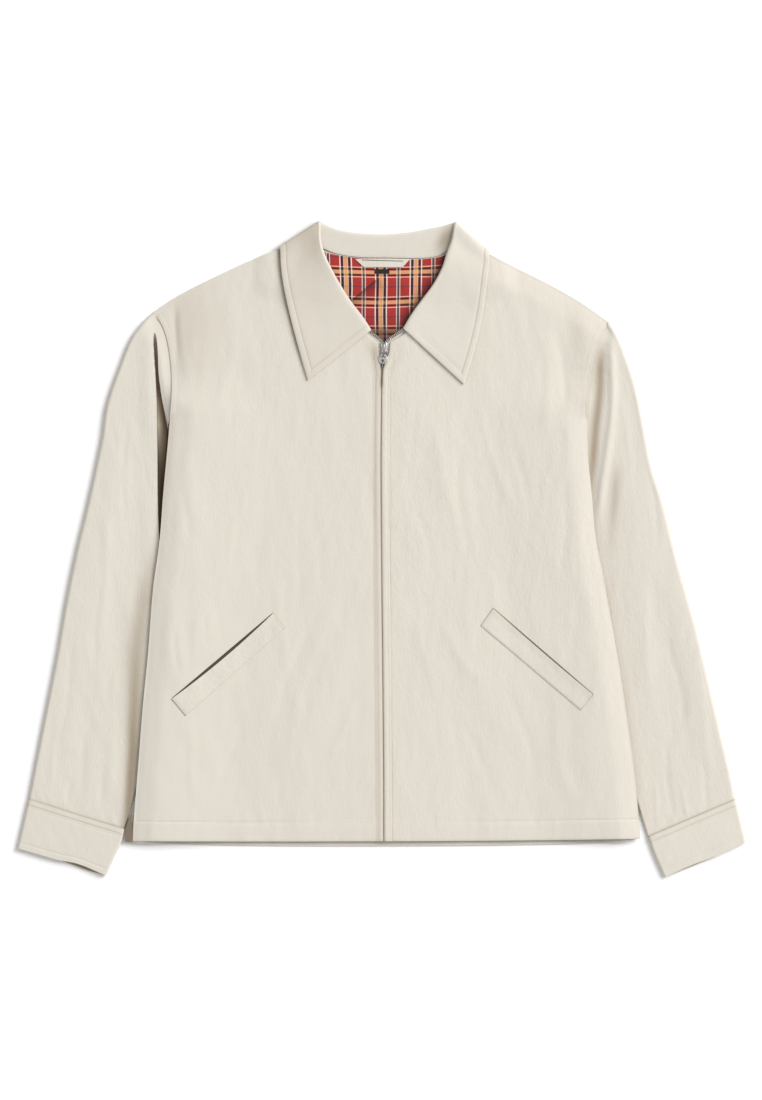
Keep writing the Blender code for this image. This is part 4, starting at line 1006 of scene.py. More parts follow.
def frontTopNear(x, y, reach=3.0):
    # the highest top of the fronts near a place
    spots = [(0, 0), (reach, 0), (-reach, 0), (0, reach), (0, -reach)]
    return max(float(frontUnder(np.array(x + a), np.array(y + b))) + cloth["shellWall"] for a, b in spots)


def unit(vector):
    return vector / np.linalg.norm(vector)


def collarGrid():
    # sections of the collar as the solid has them: stand, roll and leaf
    look = collarLook
    rows = look["collarSections"]
    sections = []
    for nx, ny, rx, ry, ex, ey, turn in rows:
        turns = (90.0 * turn,)
        if turn == 0:
            turns = look["foldTurns"] if rx < 0 else look["foldTurns"][::-1]
        sections += [(np.array([nx, ny, 0.0]), np.array([rx, ry, 0.0]), np.array([ex, ey, 0.0]), t)
                     for t in turns]
    folds = [row for row in rows if row[6] == 0]
    half, radius = cloth["collarWall"] / 2, look["rollRadius"]
    up = np.array([0, 0, 1.0])
    grid = []
    for index, (neck, roll, edge, angle) in enumerate(sections):
        onLeft = index < len(sections) / 2
        fold, tip = (folds[0], rows[0]) if onLeft else (folds[1], rows[-1])
        turning = abs(angle) < 90
        sine = math.sin(math.radians(angle))
        cosine = math.cos(math.radians(angle)) if turning else 0.0
        under = (1 + sine) / 2
        inward = unit(edge - roll)
        if turning:
            inward = unit(inward + unit(neck - roll))
        toLeaf = np.cross(inward, up) * (1 if onLeft else -1) * cosine - up * sine
        x, y = np.array(neck[0]), np.array(neck[1])
        neck = neck.copy()
        neck[2] = (float(frontUnder(x, y)) * (1 - under)
                   + float(backLift(x, y)) * under) + cloth["shellWall"] / 2
        centre = roll + inward * radius
        centre[2] = neck[2] * (1 - under) + (half + 2 * radius) * under - radius * sine
        arc = [centre + (toLeaf * math.sin(math.radians(a)) - inward * math.cos(math.radians(a))) * radius
               for a in look["rollSteps"]]
        line = [neck + (arc[0] - neck) * s / look["standSteps"] for s in range(look["standSteps"])] + arc
        upSide = (edge[1] - tip[5]) / (fold[5] - tip[5])
        standoff = np.interp(upSide, [row[0] for row in look["standoff"]],
                             [row[1] for row in look["standoff"]])
        foldRun = np.array([fold[4] - fold[2], fold[5] - fold[3], 0])
        foldIn = unit(np.cross(up, foldRun)) * (1 if onLeft else -1)
        for step in range(1, look["leafSteps"] + 1):
            share = step / look["leafSteps"]
            place = arc[-1] + (edge - arc[-1]) * share
            top = frontTopNear(place[0], place[1]) + look["leafGap"] + half
            low = half
            if under < 0.5:
                top += max(0.0, arc[-1][2] - top) * (1 - share) ** 2
            else:
                low += max(0.0, arc[-1][2] - half) * (1 - share) ** 2
            top += standoff * share * share
            if turning:
                place = place + foldIn * (top - low) / 2 * (1 - cosine) * share
            place[2] = top * (1 - under) + low * under
            line.append(place)
        grid.append(line)
    return np.array(grid)


def makeCollar():
    look = collarLook
    coarse = collarGrid()
    grid = between(between(coarse, look["fine"], 0), look["fine"], 1)
    leafStart = (look["standSteps"] + len(look["rollSteps"]) - 1) * look["fine"]
    # extra lines near the leaf's outer edge and near both tips, for the seams
    edgeRun = np.linalg.norm(grid[:, -1] - grid[:, leafStart], axis=-1)
    closeShares = np.array([1 - away / edgeRun for away in look["closeLines"][::-1]]).T
    leaf = grid[:, leafStart:]
    steps = np.linspace(0, 1, leaf.shape[1])
    evenShares = np.tile(steps[:-look["fine"]], (len(grid), 1))
    wanted = np.concatenate([evenShares, closeShares, np.ones((len(grid), 1))], 1)
    wanted.sort(axis=1)
    fresh = np.empty((len(grid), wanted.shape[1], 3))
    for row in range(len(grid)):
        for axis in range(3):
            fresh[row, :, axis] = np.interp(wanted[row], steps, leaf[row, :, axis])
    grid = np.concatenate([grid[:, :leafStart], fresh], 1)
    leafAway = np.zeros(grid.shape[:2])
    leafAway[:, leafStart:] = (1 - wanted) * edgeRun[:, None]
    leafAway[:, :leafStart] = look["farAway"]
    # the same along the length: closer rows at both fronts
    lengths = np.concatenate([[0], np.cumsum(np.linalg.norm(np.diff(grid[:, -6], axis=0), axis=-1))])
    total = lengths[-1]
    even = lengths[(lengths > look["clearEnds"]) & (lengths < total - look["clearEnds"])]
    ends = np.array(look["closeLines"])
    places = np.unique(np.concatenate([even, ends, total - ends, [0, total]]))
    rowsAt = np.interp(places, lengths, np.arange(len(grid)))
    low = np.floor(rowsAt).astype(int)
    high = np.minimum(low + 1, len(grid) - 1)
    part = (rowsAt - low)[:, None, None]
    leafAway = leafAway[low] * (1 - part[..., 0]) + leafAway[high] * part[..., 0]
    grid = grid[low] * (1 - part) + grid[high] * part
    # distance from the leaf's front edge, measured square to it
    x, y = grid[..., 0], grid[..., 1]
    onTop = np.zeros(grid.shape[:2])
    onTop[:, leafStart:] = 1
    frontEdges = [grid[0, leafStart:, :2], grid[-1, leafStart:, :2]]
    frontAway = np.minimum(*[awayFromCurve(x, y, [tuple(p) for p in edge[::4]] + [tuple(edge[-1])])
                             for edge in frontEdges])
    frontAway = np.where(onTop > 0, frontAway, look["farAway"])
    middle = (places > total * look["middle"][0]) & (places < total * look["middle"][1])
    frontAway[middle] = look["farAway"]
    nearest = np.minimum(leafAway, frontAway)
    lift = seamGroove(nearest, look["stitchIn"], 0.35, 0.9)
    lift += 0.25 * smoothStep((look["stitchIn"] - nearest) / 1.2) - 0.45 * (1 - smoothStep(nearest / 1.4))
    body = smoothStep(nearest / 12)
    lift += (look["wave"] * drift(x, y, 26, 38, 41, 0.3) * body * onTop
             + 0.1 * drift(x, y, 6, 14, 42, 0.2) * onTop * body)
    turned = ~middle[:, None] & (onTop > 0)
    grid[..., 2] += np.where(turned, lift, 0)
    grid[..., 2] = np.maximum(grid[..., 2], cloth["collarWall"] / 2 + 0.02)
    way = np.stack([np.tile(places[:, None], (1, grid.shape[1])),
                    np.tile(np.linspace(0, 1, grid.shape[1]) * look["wayWide"], (len(places), 1))], -1)
    made = meshObject("collarLeaf", grid.reshape(-1, 3) * mm, gridFaces(*grid.shape[:2]), stoneCloth,
                      way.reshape(-1, 2) * mm, 0.35)
    # painted shade: the whole left leaf a little darker, more toward its outer edge, as it tilts from the
    # light
    leftLeaf = np.where(turned & (x < 0), 1.0, 0.0)
    least, more, reach = look["edgeShade"]
    amount, half = look["stitchShade"]
    shade = leftLeaf * (least + more * smoothStep((reach - leafAway) / reach))
    shade = shade + amount * spot(nearest - look["stitchIn"], half) * turned
    sx, sy, wide, tall, amount = look["leafShade"]
    shade += amount * np.exp(-(((x - sx) / wide) ** 2 + ((y - sy) / tall) ** 2)) * (onTop > 0) * (x < 0)
    sx, sy, wide, tall, amount = look["standShade"]
    aside = x - sx - look["standLean"] * (y - sy)
    shade += amount * np.exp(-((aside / wide) ** 2 + ((y - sy) / tall) ** 2)) * (onTop == 0)
    paintShade(made, shade)
    # where the topstitching runs: along the outer edge of each leaf, and along its front edge
    onCloth = np.array([0, 0, cloth["collarWall"] / 2 + 0.05])
    for fromLeft in (True, False):
        rows = np.arange(len(places)) if fromLeft else np.arange(len(places))[::-1]
        rows = [r for r in rows if not middle[r]][: int(len(places) * 0.36)]
        path = []
        for r in rows:
            if frontAway[r, -2] < look["stitchIn"]:
                continue
            column = int(np.argmin(abs(leafAway[r, leafStart:] - look["stitchIn"]))) + leafStart
            path.append(grid[r, column] + onCloth)
        front = []
        row = int(np.argmin(abs((places if fromLeft else total - places) - look["stitchIn"])))
        for column in range(grid.shape[1] - 1, leafStart, -1):
            if leafAway[row, column] < look["stitchIn"]:
                continue
            front.append(grid[row, column] + onCloth)
        seamRuns.append(front[::-1][:-1] + path)
    return thicken(made, cloth["collarWall"], 0, 0.5)


liningLook = {
    "liningTop": [
        (-66, 341.8), (-49.5, 338.2), (-25, 334.8), (4, 334.1), (42, 333.6),
        (66, 336), (74, 339),
    ],
    "liningBottom": [
        (-60, 205), (4, 200), (70, 205),
    ],
    "liningLeft": [
        (-60, 205), (-82, 270), (-66, 341.8),
    ],
    "liningRight": [
        (70, 205), (90, 270), (74, 339),
    ],
    "gap": 0.3,
    "wave": 0.5,
    "creases": [(0, 316, -40, 284, 3.2, 1.6, 1.0), (-10, 300, -44, 262, 5, 0.6, 1.5),
                (22, 318, 40, 268, 5.0, 1.0, 1.5), (2, 300, 4, 246, 5.0, -0.4, 1.0)],
    "longCrease": [(-2.4, 313.5), (-38.0, 285.0)],
    # shade: just below the long crease, further below it, and under the right leaf: amount, reach
    "creaseShade": (0.62, 3.5), "softShade": (0.26, 16.0), "leafShade": (0.85, 9.0),
    # toward the V's end: amount, the y where it starts, over how far
    "endShades": ((0.26, 278.0, 26.0), (0.75, 259.0, 9.0)),
    "flatBelow": 232.0,               # under this y the lining lies flat, below the closed fronts
    "across": 86, "upward": 76,
    # tartan, centred on the middle of the neck. Sizes in mm
    "warpRepeat": 40.1, "warpMiddle": -0.8, "weftRepeat": 33.5, "weftMiddle": 284.5,
}


def backTop(x, y):
    return backLift(x, y) + cloth["shellWall"]


def liningTop(x, y):
    look = liningLook
    ridges = np.maximum(0, creaseSum(x, y, look["creases"]) + 0.25) * 0.8
    wave = look["wave"] * (0.6 + 0.5 * drift(x, y, 24, 40, 51, 0.2)) + ridges
    return backTop(x, y) + look["gap"] + wave * 0.7 + cloth["liningWall"]


def makeLining():
    look = liningLook
    across, upward = np.linspace(0, 1, look["across"]), np.linspace(0, 1, look["upward"])
    places = patchGrid(curveOf(look["liningBottom"]), curveOf(look["liningTop"]),
                       curveOf(look["liningLeft"]), curveOf(look["liningRight"]), across, upward)
    x, y = places[..., 0], places[..., 1]
    z = liningTop(x, y) - cloth["liningWall"]
    z = np.where(y < look["flatBelow"], np.minimum(z, backTop(x, y) + look["gap"]), z)
    points = inMetres(x, y, z)
    way = places * mm
    way[..., 0] = way[..., 0] * (1 - 0.0003 * (y - 310)) + 0.0005 * drift(x, y, 30, 34, 52)
    way[..., 1] += 0.0010 * drift(x, y, 34, 28, 53) - 0.00003 * (x * x) / 60
    made = meshObject("liningBack", points.reshape(-1, 3), gridFaces(len(upward), len(across)), tartanCloth,
                      way.reshape(-1, 2))
    start, end = np.array(look["longCrease"])
    run = unit(end - start)
    along = (x - start[0]) * run[0] + (y - start[1]) * run[1]
    below = (y - start[1]) * run[0] - (x - start[0]) * run[1]
    inside = smoothStep((along + 2) / 8) * smoothStep((np.linalg.norm(end - start) + 10 - along) / 12)
    (close, closeReach), (soft, softReach) = look["creaseShade"], look["softShade"]
    shade = inside * (below > 0) * (close * np.exp(-below / closeReach) + soft * spot(below, softReach))
    fromLeaf = awayFromCurve(x, y, [(row[2], row[3]) for row in collarLook["collarSections"][16:]])
    amount, half = look["leafShade"]
    shade = np.maximum(shade, amount * spot(fromLeaf, half))
    for amount, startY, reach in look["endShades"]:
        shade = np.maximum(shade, amount * smoothStep((startY - y) / reach))
    paintShade(made, shade)
    return thicken(made, cloth["liningWall"], 1)


def laidPiece(name, corners, steps, heightAt, gap, wall, finish, bow=0.0, relief=None, soften=0.3,
              shade=None):
    # a flat piece that lies on a surface; corners run along its first edge and back along the other
    a, b, c, d = [np.array(corner, float) for corner in corners]
    u, v = np.linspace(0, 1, steps[0] + 1)[None, :, None], np.linspace(0, 1, steps[1] + 1)[:, None, None]
    places = (a * (1 - u) + b * u) * (1 - v) + (d * (1 - u) + c * u) * v
    inward = unit(d - a)[None, None]
    places = places + inward * bow * np.sin(math.pi * u) ** 0.8 * (1 - v)
    x, y = places[..., 0], places[..., 1]
    z = heightAt(x, y) + gap
    # distances from the start, the end, the first edge and the other edge
    long, deep = np.linalg.norm(b - a), np.linalg.norm(d - a)
    spans = [u[..., 0] * long, (1 - u[..., 0]) * long, v[..., 0] * deep, (1 - v[..., 0]) * deep]
    if relief:
        z = z + relief(*spans)
    points = inMetres(x, y, z)
    turned = np.cross(b - a, d - a) < 0
    along = unit(b - a)
    way = np.stack([places @ along, places @ np.array([-along[1], along[0]])], -1) * mm
    faces = gridFaces(steps[1] + 1, steps[0] + 1, turned=bool(turned))
    made = meshObject(name, points.reshape(-1, 3), faces, finish, way.reshape(-1, 2))
    if shade:
        paintShade(made, shade(*[span * np.ones(x.shape) for span in spans]))
    return thicken(made, wall, 1, soften)


weltLook = {
    "left": [(-241.6, -171.7), (-124.3, -72.6), (-110.5, -90.0), (-225.5, -191.6)],
    "right": [(128.5, -67.4), (244.0, -167.0), (229.1, -185.5), (113.6, -88.0)],
    "bow": {"left": 3.1, "right": 1.0}, "sink": {"left": 0.0, "right": 0.5},
    "lipShade": {"left": 0.0, "right": 0.4},
    "wall": 0.8, "gap": 0.34,
    "stitchIn": 2.6,
    "endShade": (0.38, 0.9), "seamShade": (0.10, 1.0), "lipHalf": 0.8,
    "threadEnds": 0.42, "threadSeam": 0.12,   # how far the stitches lie above the front, with the wall
    "mouthIn": 1.0, "mouthDeep": 1.5, "mouthWall": 0.15, "mouthGap": 0.14,
}


def weltRelief(start, end, opening, seam):
    ends = np.minimum(start, end)
    z = 0.45 * smoothStep((9 - opening) / 9)
    z = z - 0.45 * (1 - smoothStep(np.minimum(ends, seam) / 2.2))
    return z + seamGroove(ends, weltLook["stitchIn"], 0.25, 0.8) + 0.12 * drift(start, seam, 16, 12, 61)


def weltShade(start, end, seam):
    (ends, endHalf), (sewn, sewnHalf) = weltLook["endShade"], weltLook["seamShade"]
    return ends * spot(np.minimum(start, end), endHalf) + sewn * spot(seam, sewnHalf)


def threadAbove(place, high):
    # a stitch point over the fronts' top
    x, y = place
    return (x, y, float(frontTop(np.array(x), np.array(y))) + weltLook["wall"] + high)


def makeWelt(side):
    look = weltLook
    sink, lip = look["sink"][side], look["lipShade"][side]

    def relief(start, end, opening, seam):
        return weltRelief(start, end, opening, seam) - sink * (1 - smoothStep(seam / 2.5))

    def shade(start, end, opening, seam):
        return weltShade(start, end, seam) + lip * spot(opening, look["lipHalf"])

    made = laidPiece("welt" + side.capitalize(), look[side], (110, 22), frontTop, look["gap"], look["wall"],
                     stoneCloth, look["bow"][side], relief, 0.35, shade)
    a, b, c, d = [np.array(corner) for corner in look[side]]
    along, inward = unit(b - a), unit(d - a)
    for start, finish in ((a, d), (b, c)):
        aside = along * (look["stitchIn"] if start is a else -look["stitchIn"])
        run = [start + aside + (finish - start) * s for s in np.linspace(0.04, 0.97, 14)]
        seamRuns.append([threadAbove(place, look["threadEnds"]) for place in run])
    seam = [d + (c - d) * s + inward * -1.3 for s in np.linspace(0.01, 0.99, 60)]
    seamRuns.append([threadAbove(place, look["threadSeam"]) for place in seam])
    # the pocket's mouth, a dark sliver of painted shade where the welt bows away
    reach, inset = look["bow"][side] + look["mouthDeep"], along * look["mouthIn"]
    mouth = [a + inset - inward * 0.3, b - inset - inward * 0.3,
             b - inset * 2 + inward * reach, a + inset * 2 + inward * reach]
    pocket = laidPiece("pocketMouthShade" + side.capitalize(), mouth, (50, 4), frontTop, look["mouthGap"],
                       look["mouthWall"], pocketShadow, soften=0)
    return made, pocket


loopLook = {
    "corners": [(-30.6, 334.0), (32.8, 334.0), (24.4, 324.6), (-20.3, 324.6)],
    "slit": [(-22.6, 333.2), (25.2, 331.9), (24.9, 331.2), (-22.3, 332.5)],
    "wall": 1.0, "gap": 0.3, "slitWall": 0.12, "high": 0.9,
}
labelLook = {"middle": (0.7, 319.6), "size": (16.8, 5.2), "wall": 0.8}


def loopRelief(start, end, *sides):
    # the strip stands up in its middle; its two long sides don't change that
    arch = np.sin(math.pi * np.clip(start / (start + end), 0, 1)) ** 2
    return loopLook["high"] * arch * smoothStep(np.minimum(start, end) / 12)


def makeNeckPieces():
    look = loopLook
    loop = laidPiece("hangerLoop", look["corners"], (56, 12), liningTop, look["gap"], look["wall"],
                     stoneCloth,
                     relief=loopRelief)

    def loopTop(x, y):
        fromLeft, fromRight = x - look["corners"][0][0], look["corners"][1][0] - x
        return liningTop(x, y) + look["gap"] + look["wall"] + loopRelief(fromLeft, fromRight)

    # a thin dark strip of painted shade, where the loop's top edge stands open
    slit = laidPiece("loopSlitShade", look["slit"], (40, 2), loopTop, 0.1, look["slitWall"], pocketShadow,
                     soften=0)
    (x, y), (wide, tall) = labelLook["middle"], labelLook["size"]
    low, high, left, right = y - tall / 2, y + tall / 2, x - wide / 2, x + wide / 2
    corners = [(left, high), (right, high), (right, low), (left, low)]
    label = laidPiece("neckLabel", corners, (24, 10), liningTop, 0.2, labelLook["wall"], labelCloth)
    return loop, slit, label


zipLook = {
    "leftTape": [
        (2.3, -324), (2, -242), (-0.3, 0), (-1.1, 90), (0.3, 204),
        (1.6, 226), (1.4, 238), (-12.5, 250.5), (-19, 257.5),
    ],
    "rightTape": [
        (2.9, -324), (2.6, -242), (0.3, 0), (-0.5, 90), (0.9, 204),
        (4.2, 226), (4.6, 238), (22, 251.5), (28, 257),
    ],
    "tapeClear": 0.6, "tapeWall": 1.0, "tapeSteps": 190,
    "toothPitch": 2.15, "toothWide": 2.9, "toothLong": 1.35, "toothHigh": 1.5,
    "tapeLines": (0, 0.6, 1.4, 2.4, 3.2, 5, 7.5, 10, 12.5, 15),   # mm out from the teeth
    "cordHigh": 0.5, "cordAt": 1.4, "cordHalf": 0.9, "cordFromY": 236.0,
    "toothOut": 0.35, "closedBelowY": 226.0,
    "teethSunk": -0.9, "teethUp": 0.05,
}

sliderLook = {
    "middle": (2.9, 232.2), "low": 5.1, "high": 2.0,
    "shield": [
        (-2.6, -5.7), (2.6, -5.7), (3.1, -5.2), (3.2, -1), (4, 2.2), (4.1, 4.6), (3.4, 5.6), (1.2, 5.7),
        (0, 5.1), (-1.2, 5.7), (-3.4, 5.6), (-4.1, 4.6), (-4, 2.2), (-3.2, -1), (-3.1, -5.2),
    ],
    "bridgeSteps": 16, "bridgeLong": 4.4, "bridgeLow": 1.75, "bridgeHigh": 2.35, "bridgeHalf": 0.45,
    "pullHigh": 7.9, "pullWall": 1.0,
    "lean": -6.0,                     # degrees: the pull lies a little to the left
    "lobe": [
        (-2, 0.6), (2, 0.6), (2.3, 0), (2.3, -6.2), (3, -8.2), (5.2, -10), (5.6, -12), (5.2, -15),
        (4, -17.6), (1.8, -19), (-1.8, -19), (-4, -17.6), (-5.2, -15), (-5.6, -12), (-5.2, -10),
        (-3, -8.2), (-2.3, -6.2), (-2.3, 0),
    ],
    "window": [(-1.35, -0.5), (-1.35, -5.6), (-0.6, -6.2), (0.6, -6.2), (1.35, -5.6), (1.35, -0.5)],
    "eye": (1.5, 20, (0, -15.2)), "smallEye": (0.9, 16, (0, -9.6)),   # radius, points, middle
}


def makeTape(side):
    look = zipLook
    sign = -1 if side == "left" else 1
    shares = np.linspace(0, 1, look["tapeSteps"])
    edge = curveAt(look[side + "Tape"], shares)
    ahead = curveAt(look[side + "Tape"], np.minimum(1, shares + 0.01))
    behind = curveAt(look[side + "Tape"], np.maximum(0, shares - 0.01))
    run = (ahead - behind) / np.linalg.norm(ahead - behind, axis=1)[:, None]
    out = np.stack([run[:, 1], -run[:, 0]], -1) * sign
    across = np.array(look["tapeLines"])
    places = edge[:, None] + out[:, None] * across[None, :, None]
    x, y = places[..., 0], places[..., 1]
    cord = look["cordHigh"] * spot(across - look["cordAt"], look["cordHalf"])[None]
    z = frontUnder(x, y) - look["tapeClear"] - look["tapeWall"] + cord * (y > look["cordFromY"])
    points = inMetres(x, y, z)
    way = np.stack([np.tile(across, (len(shares), 1)), np.tile(shares[:, None] * 600, (1, len(across)))],
                   -1) * mm
    made = meshObject("zipTape" + side.capitalize(), points.reshape(-1, 3),
                      gridFaces(len(shares), len(across), turned=side == "left"), tapeCloth,
                      way.reshape(-1, 2))
    # the teeth's line, just outside the tape's edge
    step = look["toothPitch"]
    lengths = np.concatenate([[0], np.cumsum(np.linalg.norm(np.diff(edge, axis=0), axis=1))])
    marks = np.arange(2 + (step / 2 if side == "left" else 0), lengths[-1] - 1, step)
    path = []
    for mark in marks:
        share = mark / lengths[-1]
        place = curveAt(look[side + "Tape"], [share])[0]
        index = int(np.argmin(abs(shares - share)))
        place = place + out[index] * look["toothOut"]
        level = float(frontUnder(np.array(place[0]), np.array(place[1]))) - look["tapeClear"]
        level += look["teethSunk"] if place[1] < look["closedBelowY"] else look["teethUp"]
        path.append((place[0], place[1], level))
    toothRuns.append(path)
    return thicken(made, look["tapeWall"], 1)


def flatShape(name, outline, holes, low, high, middle, finish, soften):
    # a flat metal shape with rounded edges, from a filled curve
    curve = bpy.data.curves.new(name, "CURVE")
    curve.dimensions = "2D"
    curve.fill_mode = "BOTH"
    curve.extrude = ((high - low) / 2 - soften) * mm
    curve.bevel_depth = soften * mm
    curve.bevel_resolution = 2
    curve.offset = -soften * mm
    for ring in [outline] + holes:
        spline = curve.splines.new("POLY")
        spline.points.add(len(ring) - 1)
        spline.use_cyclic_u = True
        for point, (px, py) in zip(spline.points, ring):
            point.co = ((px + middle[0]) * mm, (py + middle[1]) * mm, 0, 1)
    helper = bpy.data.objects.new(name + " curve", curve)
    scene.collection.objects.link(helper)
    graph = bpy.context.evaluated_depsgraph_get()
    mesh = bpy.data.meshes.new_from_object(helper.evaluated_get(graph))
    bpy.data.objects.remove(helper)
    points = np.array([v.co for v in mesh.vertices])
    points[:, 2] += (low + high) / 2 * mm
    mesh.vertices.foreach_set("co", points.ravel())
    mesh.materials.clear()
    mesh.materials.append(finish)
    mesh.name = name
    made = bpy.data.objects.new(name, mesh)
    scene.collection.objects.link(made)
    return mergeDoubles(made)


def mergeDoubles(made, near=1e-6):
    work = bmesh.new()
    work.from_mesh(made.data)
    bmesh.ops.remove_doubles(work, verts=work.verts, dist=near)
    bmesh.ops.recalc_face_normals(work, faces=work.faces)
    work.to_mesh(made.data)
    work.free()
    return made


def ringOutline(radius, count, middle):
    turns = [2 * math.pi * step / count for step in range(count)]
    return [(middle[0] + radius * math.cos(a), middle[1] + radius * math.sin(a)) for a in turns]


def leaned(ring):
    # turned about the bridge by the pull's lean
    lean = math.radians(sliderLook["lean"])
    return [(px * math.cos(lean) - py * math.sin(lean), px * math.sin(lean) + py * math.cos(lean))
            for px, py in ring]


def makeSlider():
    look = sliderLook
    middle, low = look["middle"], look["low"]
    body = flatShape("sliderPlates", look["shield"], [], low, low + look["high"], middle, polishedMetal,
                     0.35)
    turns = [math.pi * step / look["bridgeSteps"] for step in range(look["bridgeSteps"] + 1)]
    arch = [(math.cos(a), math.sin(a) ** 0.6) for a in turns]
    points, faces = [], []
    half = look["bridgeHalf"]
    for y, z in arch:
        for wide, high in ((-1, half), (1, half), (1, -half), (-1, -half)):
            points.append((middle[0] + wide * 1.0, middle[1] + y * (look["bridgeLong"] + high * 0.1),
                           low + look["bridgeLow"] + z * look["bridgeHigh"] + high * max(z, 0.2)))
    rows = len(arch)
    for row in range(rows - 1):
        for corner in range(4):
            after = (corner + 1) % 4
            faces.append((row * 4 + corner, row * 4 + after, (row + 1) * 4 + after, (row + 1) * 4 + corner))
    faces += [(3, 2, 1, 0), tuple((rows - 1) * 4 + c for c in range(4))]
    bridge = meshObject("sliderBridge", np.array(points) * mm, faces, polishedMetal)
    rounder = bridge.modifiers.new("rounded", "BEVEL")
    rounder.width = 0.00025
    rounder.segments = 2
    rounder.limit_method = "ANGLE"
    mergeDoubles(bakeModifiers(bridge))
    holes = [look["window"], ringOutline(*look["eye"]), ringOutline(*look["smallEye"])]
    high, half = look["pullHigh"], look["pullWall"] / 2
    pull = flatShape("pullTab", leaned(look["lobe"]), [leaned(hole) for hole in holes], high - half,
                     high + half,
                     middle, polishedMetal, 0.2)
    for made in (body, bridge, pull):
        made.data.polygons.foreach_set("use_smooth", [True] * len(made.data.polygons))
        made.data.set_sharp_from_angle(angle=math.radians(40))
    return body, bridge, pull


finishLook = {
    "stone": (0.655, 0.618, 0.550), "stoneDeep": (0.590, 0.543, 0.470), "stoneThreads": 2300.0,
    # paintedShadeDark and paintedShadeTan are the colours of painted shade; liningShadeDark is the same for
    # the lining
    "paintedShadeDark": (0.076, 0.045, 0.025), "paintedShadeTan": (0.56, 0.50, 0.42), "liningShadeDark": (0.030, 0.004, 0.004),
    "crinkleHigh": 0.36,              # mm, of the finest crinkles
    "red": (0.36, 0.024, 0.018), "navy": (0.006, 0.009, 0.015), "cream": (0.78, 0.74, 0.66),
    "orange": (0.66, 0.36, 0.09), "teal": (0.014, 0.055, 0.068), "maroon": (0.042, 0.008, 0.010),
    "pink": (0.80, 0.48, 0.40),
    "salmon": (0.66, 0.33, 0.15), "purple": (0.10, 0.025, 0.055),
    "tape": (0.66, 0.61, 0.53), "tapeDeep": (0.46, 0.42, 0.35), "thread": (0.70, 0.645, 0.555),
    # metalWorn is random wear; paintedReflectionDark is the dark of the metal's painted reflection
    "metal": (0.80, 0.79, 0.77), "metalWorn": (0.30, 0.29, 0.28), "paintedReflectionDark": (0.055, 0.05, 0.048),
    "label": (0.008, 0.008, 0.010), "labelDeep": (0.014, 0.015, 0.019),
    # pocket and pocketDeep: the pocket lining in painted shade, also used for the hanger loop's slit
    "pocket": (0.100, 0.076, 0.052), "pocketDeep": (0.03, 0.024, 0.018),
    "tapeEdge": 0.0019,               # metres of the tape by the teeth, which lie in shade
}


class NodeDesk:
    # short ways to add and join nodes in one tree
    def __init__(self, tree):
        self.tree = tree

    def add(self, kind, settings=None, **inputs):
        node = self.tree.nodes.new(kind)
        for key, value in (settings or {}).items():
            setattr(node, key, value)
        for key, value in inputs.items():
            byNumber = key[0] == "i" and key[1:].isdigit()
            socket = node.inputs[int(key[1:]) if byNumber else key.replace("_", " ")]
            if isinstance(value, bpy.types.NodeSocket):
                self.tree.links.new(value, socket)
            else:
                socket.default_value = value
        return node

    def math(self, operation, first, second=None, third=None):
        node = self.tree.nodes.new("ShaderNodeMath")
        node.operation = operation
        for socket, value in zip(node.inputs, (first, second, third)):
            if isinstance(value, bpy.types.NodeSocket):
                self.tree.links.new(value, socket)
            elif value is not None:
                socket.default_value = value
        return node.outputs[0]

    def mix(self, share, first, second, blend="MIX"):
        node = self.tree.nodes.new("ShaderNodeMix")
        node.data_type = "RGBA"
        node.blend_type = blend
        for index, value in ((0, share), (6, first), (7, second)):
            if isinstance(value, bpy.types.NodeSocket):
                self.tree.links.new(value, node.inputs[index])
            else:
                node.inputs[index].default_value = value if index == 0 else (*value[:3], 1)
        return node.outputs[2]

    def link(self, output, socket):
        self.tree.links.new(output, socket)

    def bump(self, height, shader, **values):
        node = self.add("ShaderNodeBump", Height=height, **{"Distance": mm, **values})
        self.link(node.outputs[0], shader.inputs["Normal"])


def newGroup(name, inputs, outputs, kind="ShaderNodeTree"):
    group = bpy.data.node_groups.new(name, kind)
    for label, socketKind, value in inputs:
        socket = group.interface.new_socket(name=label, in_out="INPUT", socket_type=socketKind)
        if value is not None:
            socket.default_value = value
    for label, socketKind in outputs:
        group.interface.new_socket(name=label, in_out="OUTPUT", socket_type=socketKind)
    desk = NodeDesk(group)
    return group, desk, group.nodes.new("NodeGroupInput").outputs, group.nodes.new("NodeGroupOutput").inputs


def makeWeaveGroup():
    # plain weave on the cloth's own way: thread height and a faint tone
    group, desk, given, out = newGroup("plain weave", [
        ("Way", "NodeSocketVector", None), ("Threads", "NodeSocketFloat", 2000.0)],
        [("Height", "NodeSocketFloat"), ("Tone", "NodeSocketFloat")])
    parts = desk.add("ShaderNodeSeparateXYZ", i0=given["Way"])
    across = desk.math("MULTIPLY", desk.math("MULTIPLY", parts.outputs[0], given["Threads"]), math.pi)
    along = desk.math("MULTIPLY", desk.math("MULTIPLY", parts.outputs[1], given["Threads"]), math.pi)
    over = desk.math("MULTIPLY", desk.math("SINE", across), desk.math("SINE", along))
    rounded = desk.math("ABSOLUTE", over)
    desk.link(desk.math("POWER", rounded, 0.5), out["Height"])
    desk.link(desk.math("MULTIPLY_ADD", over, 0.5, 0.5), out["Tone"])
    return group


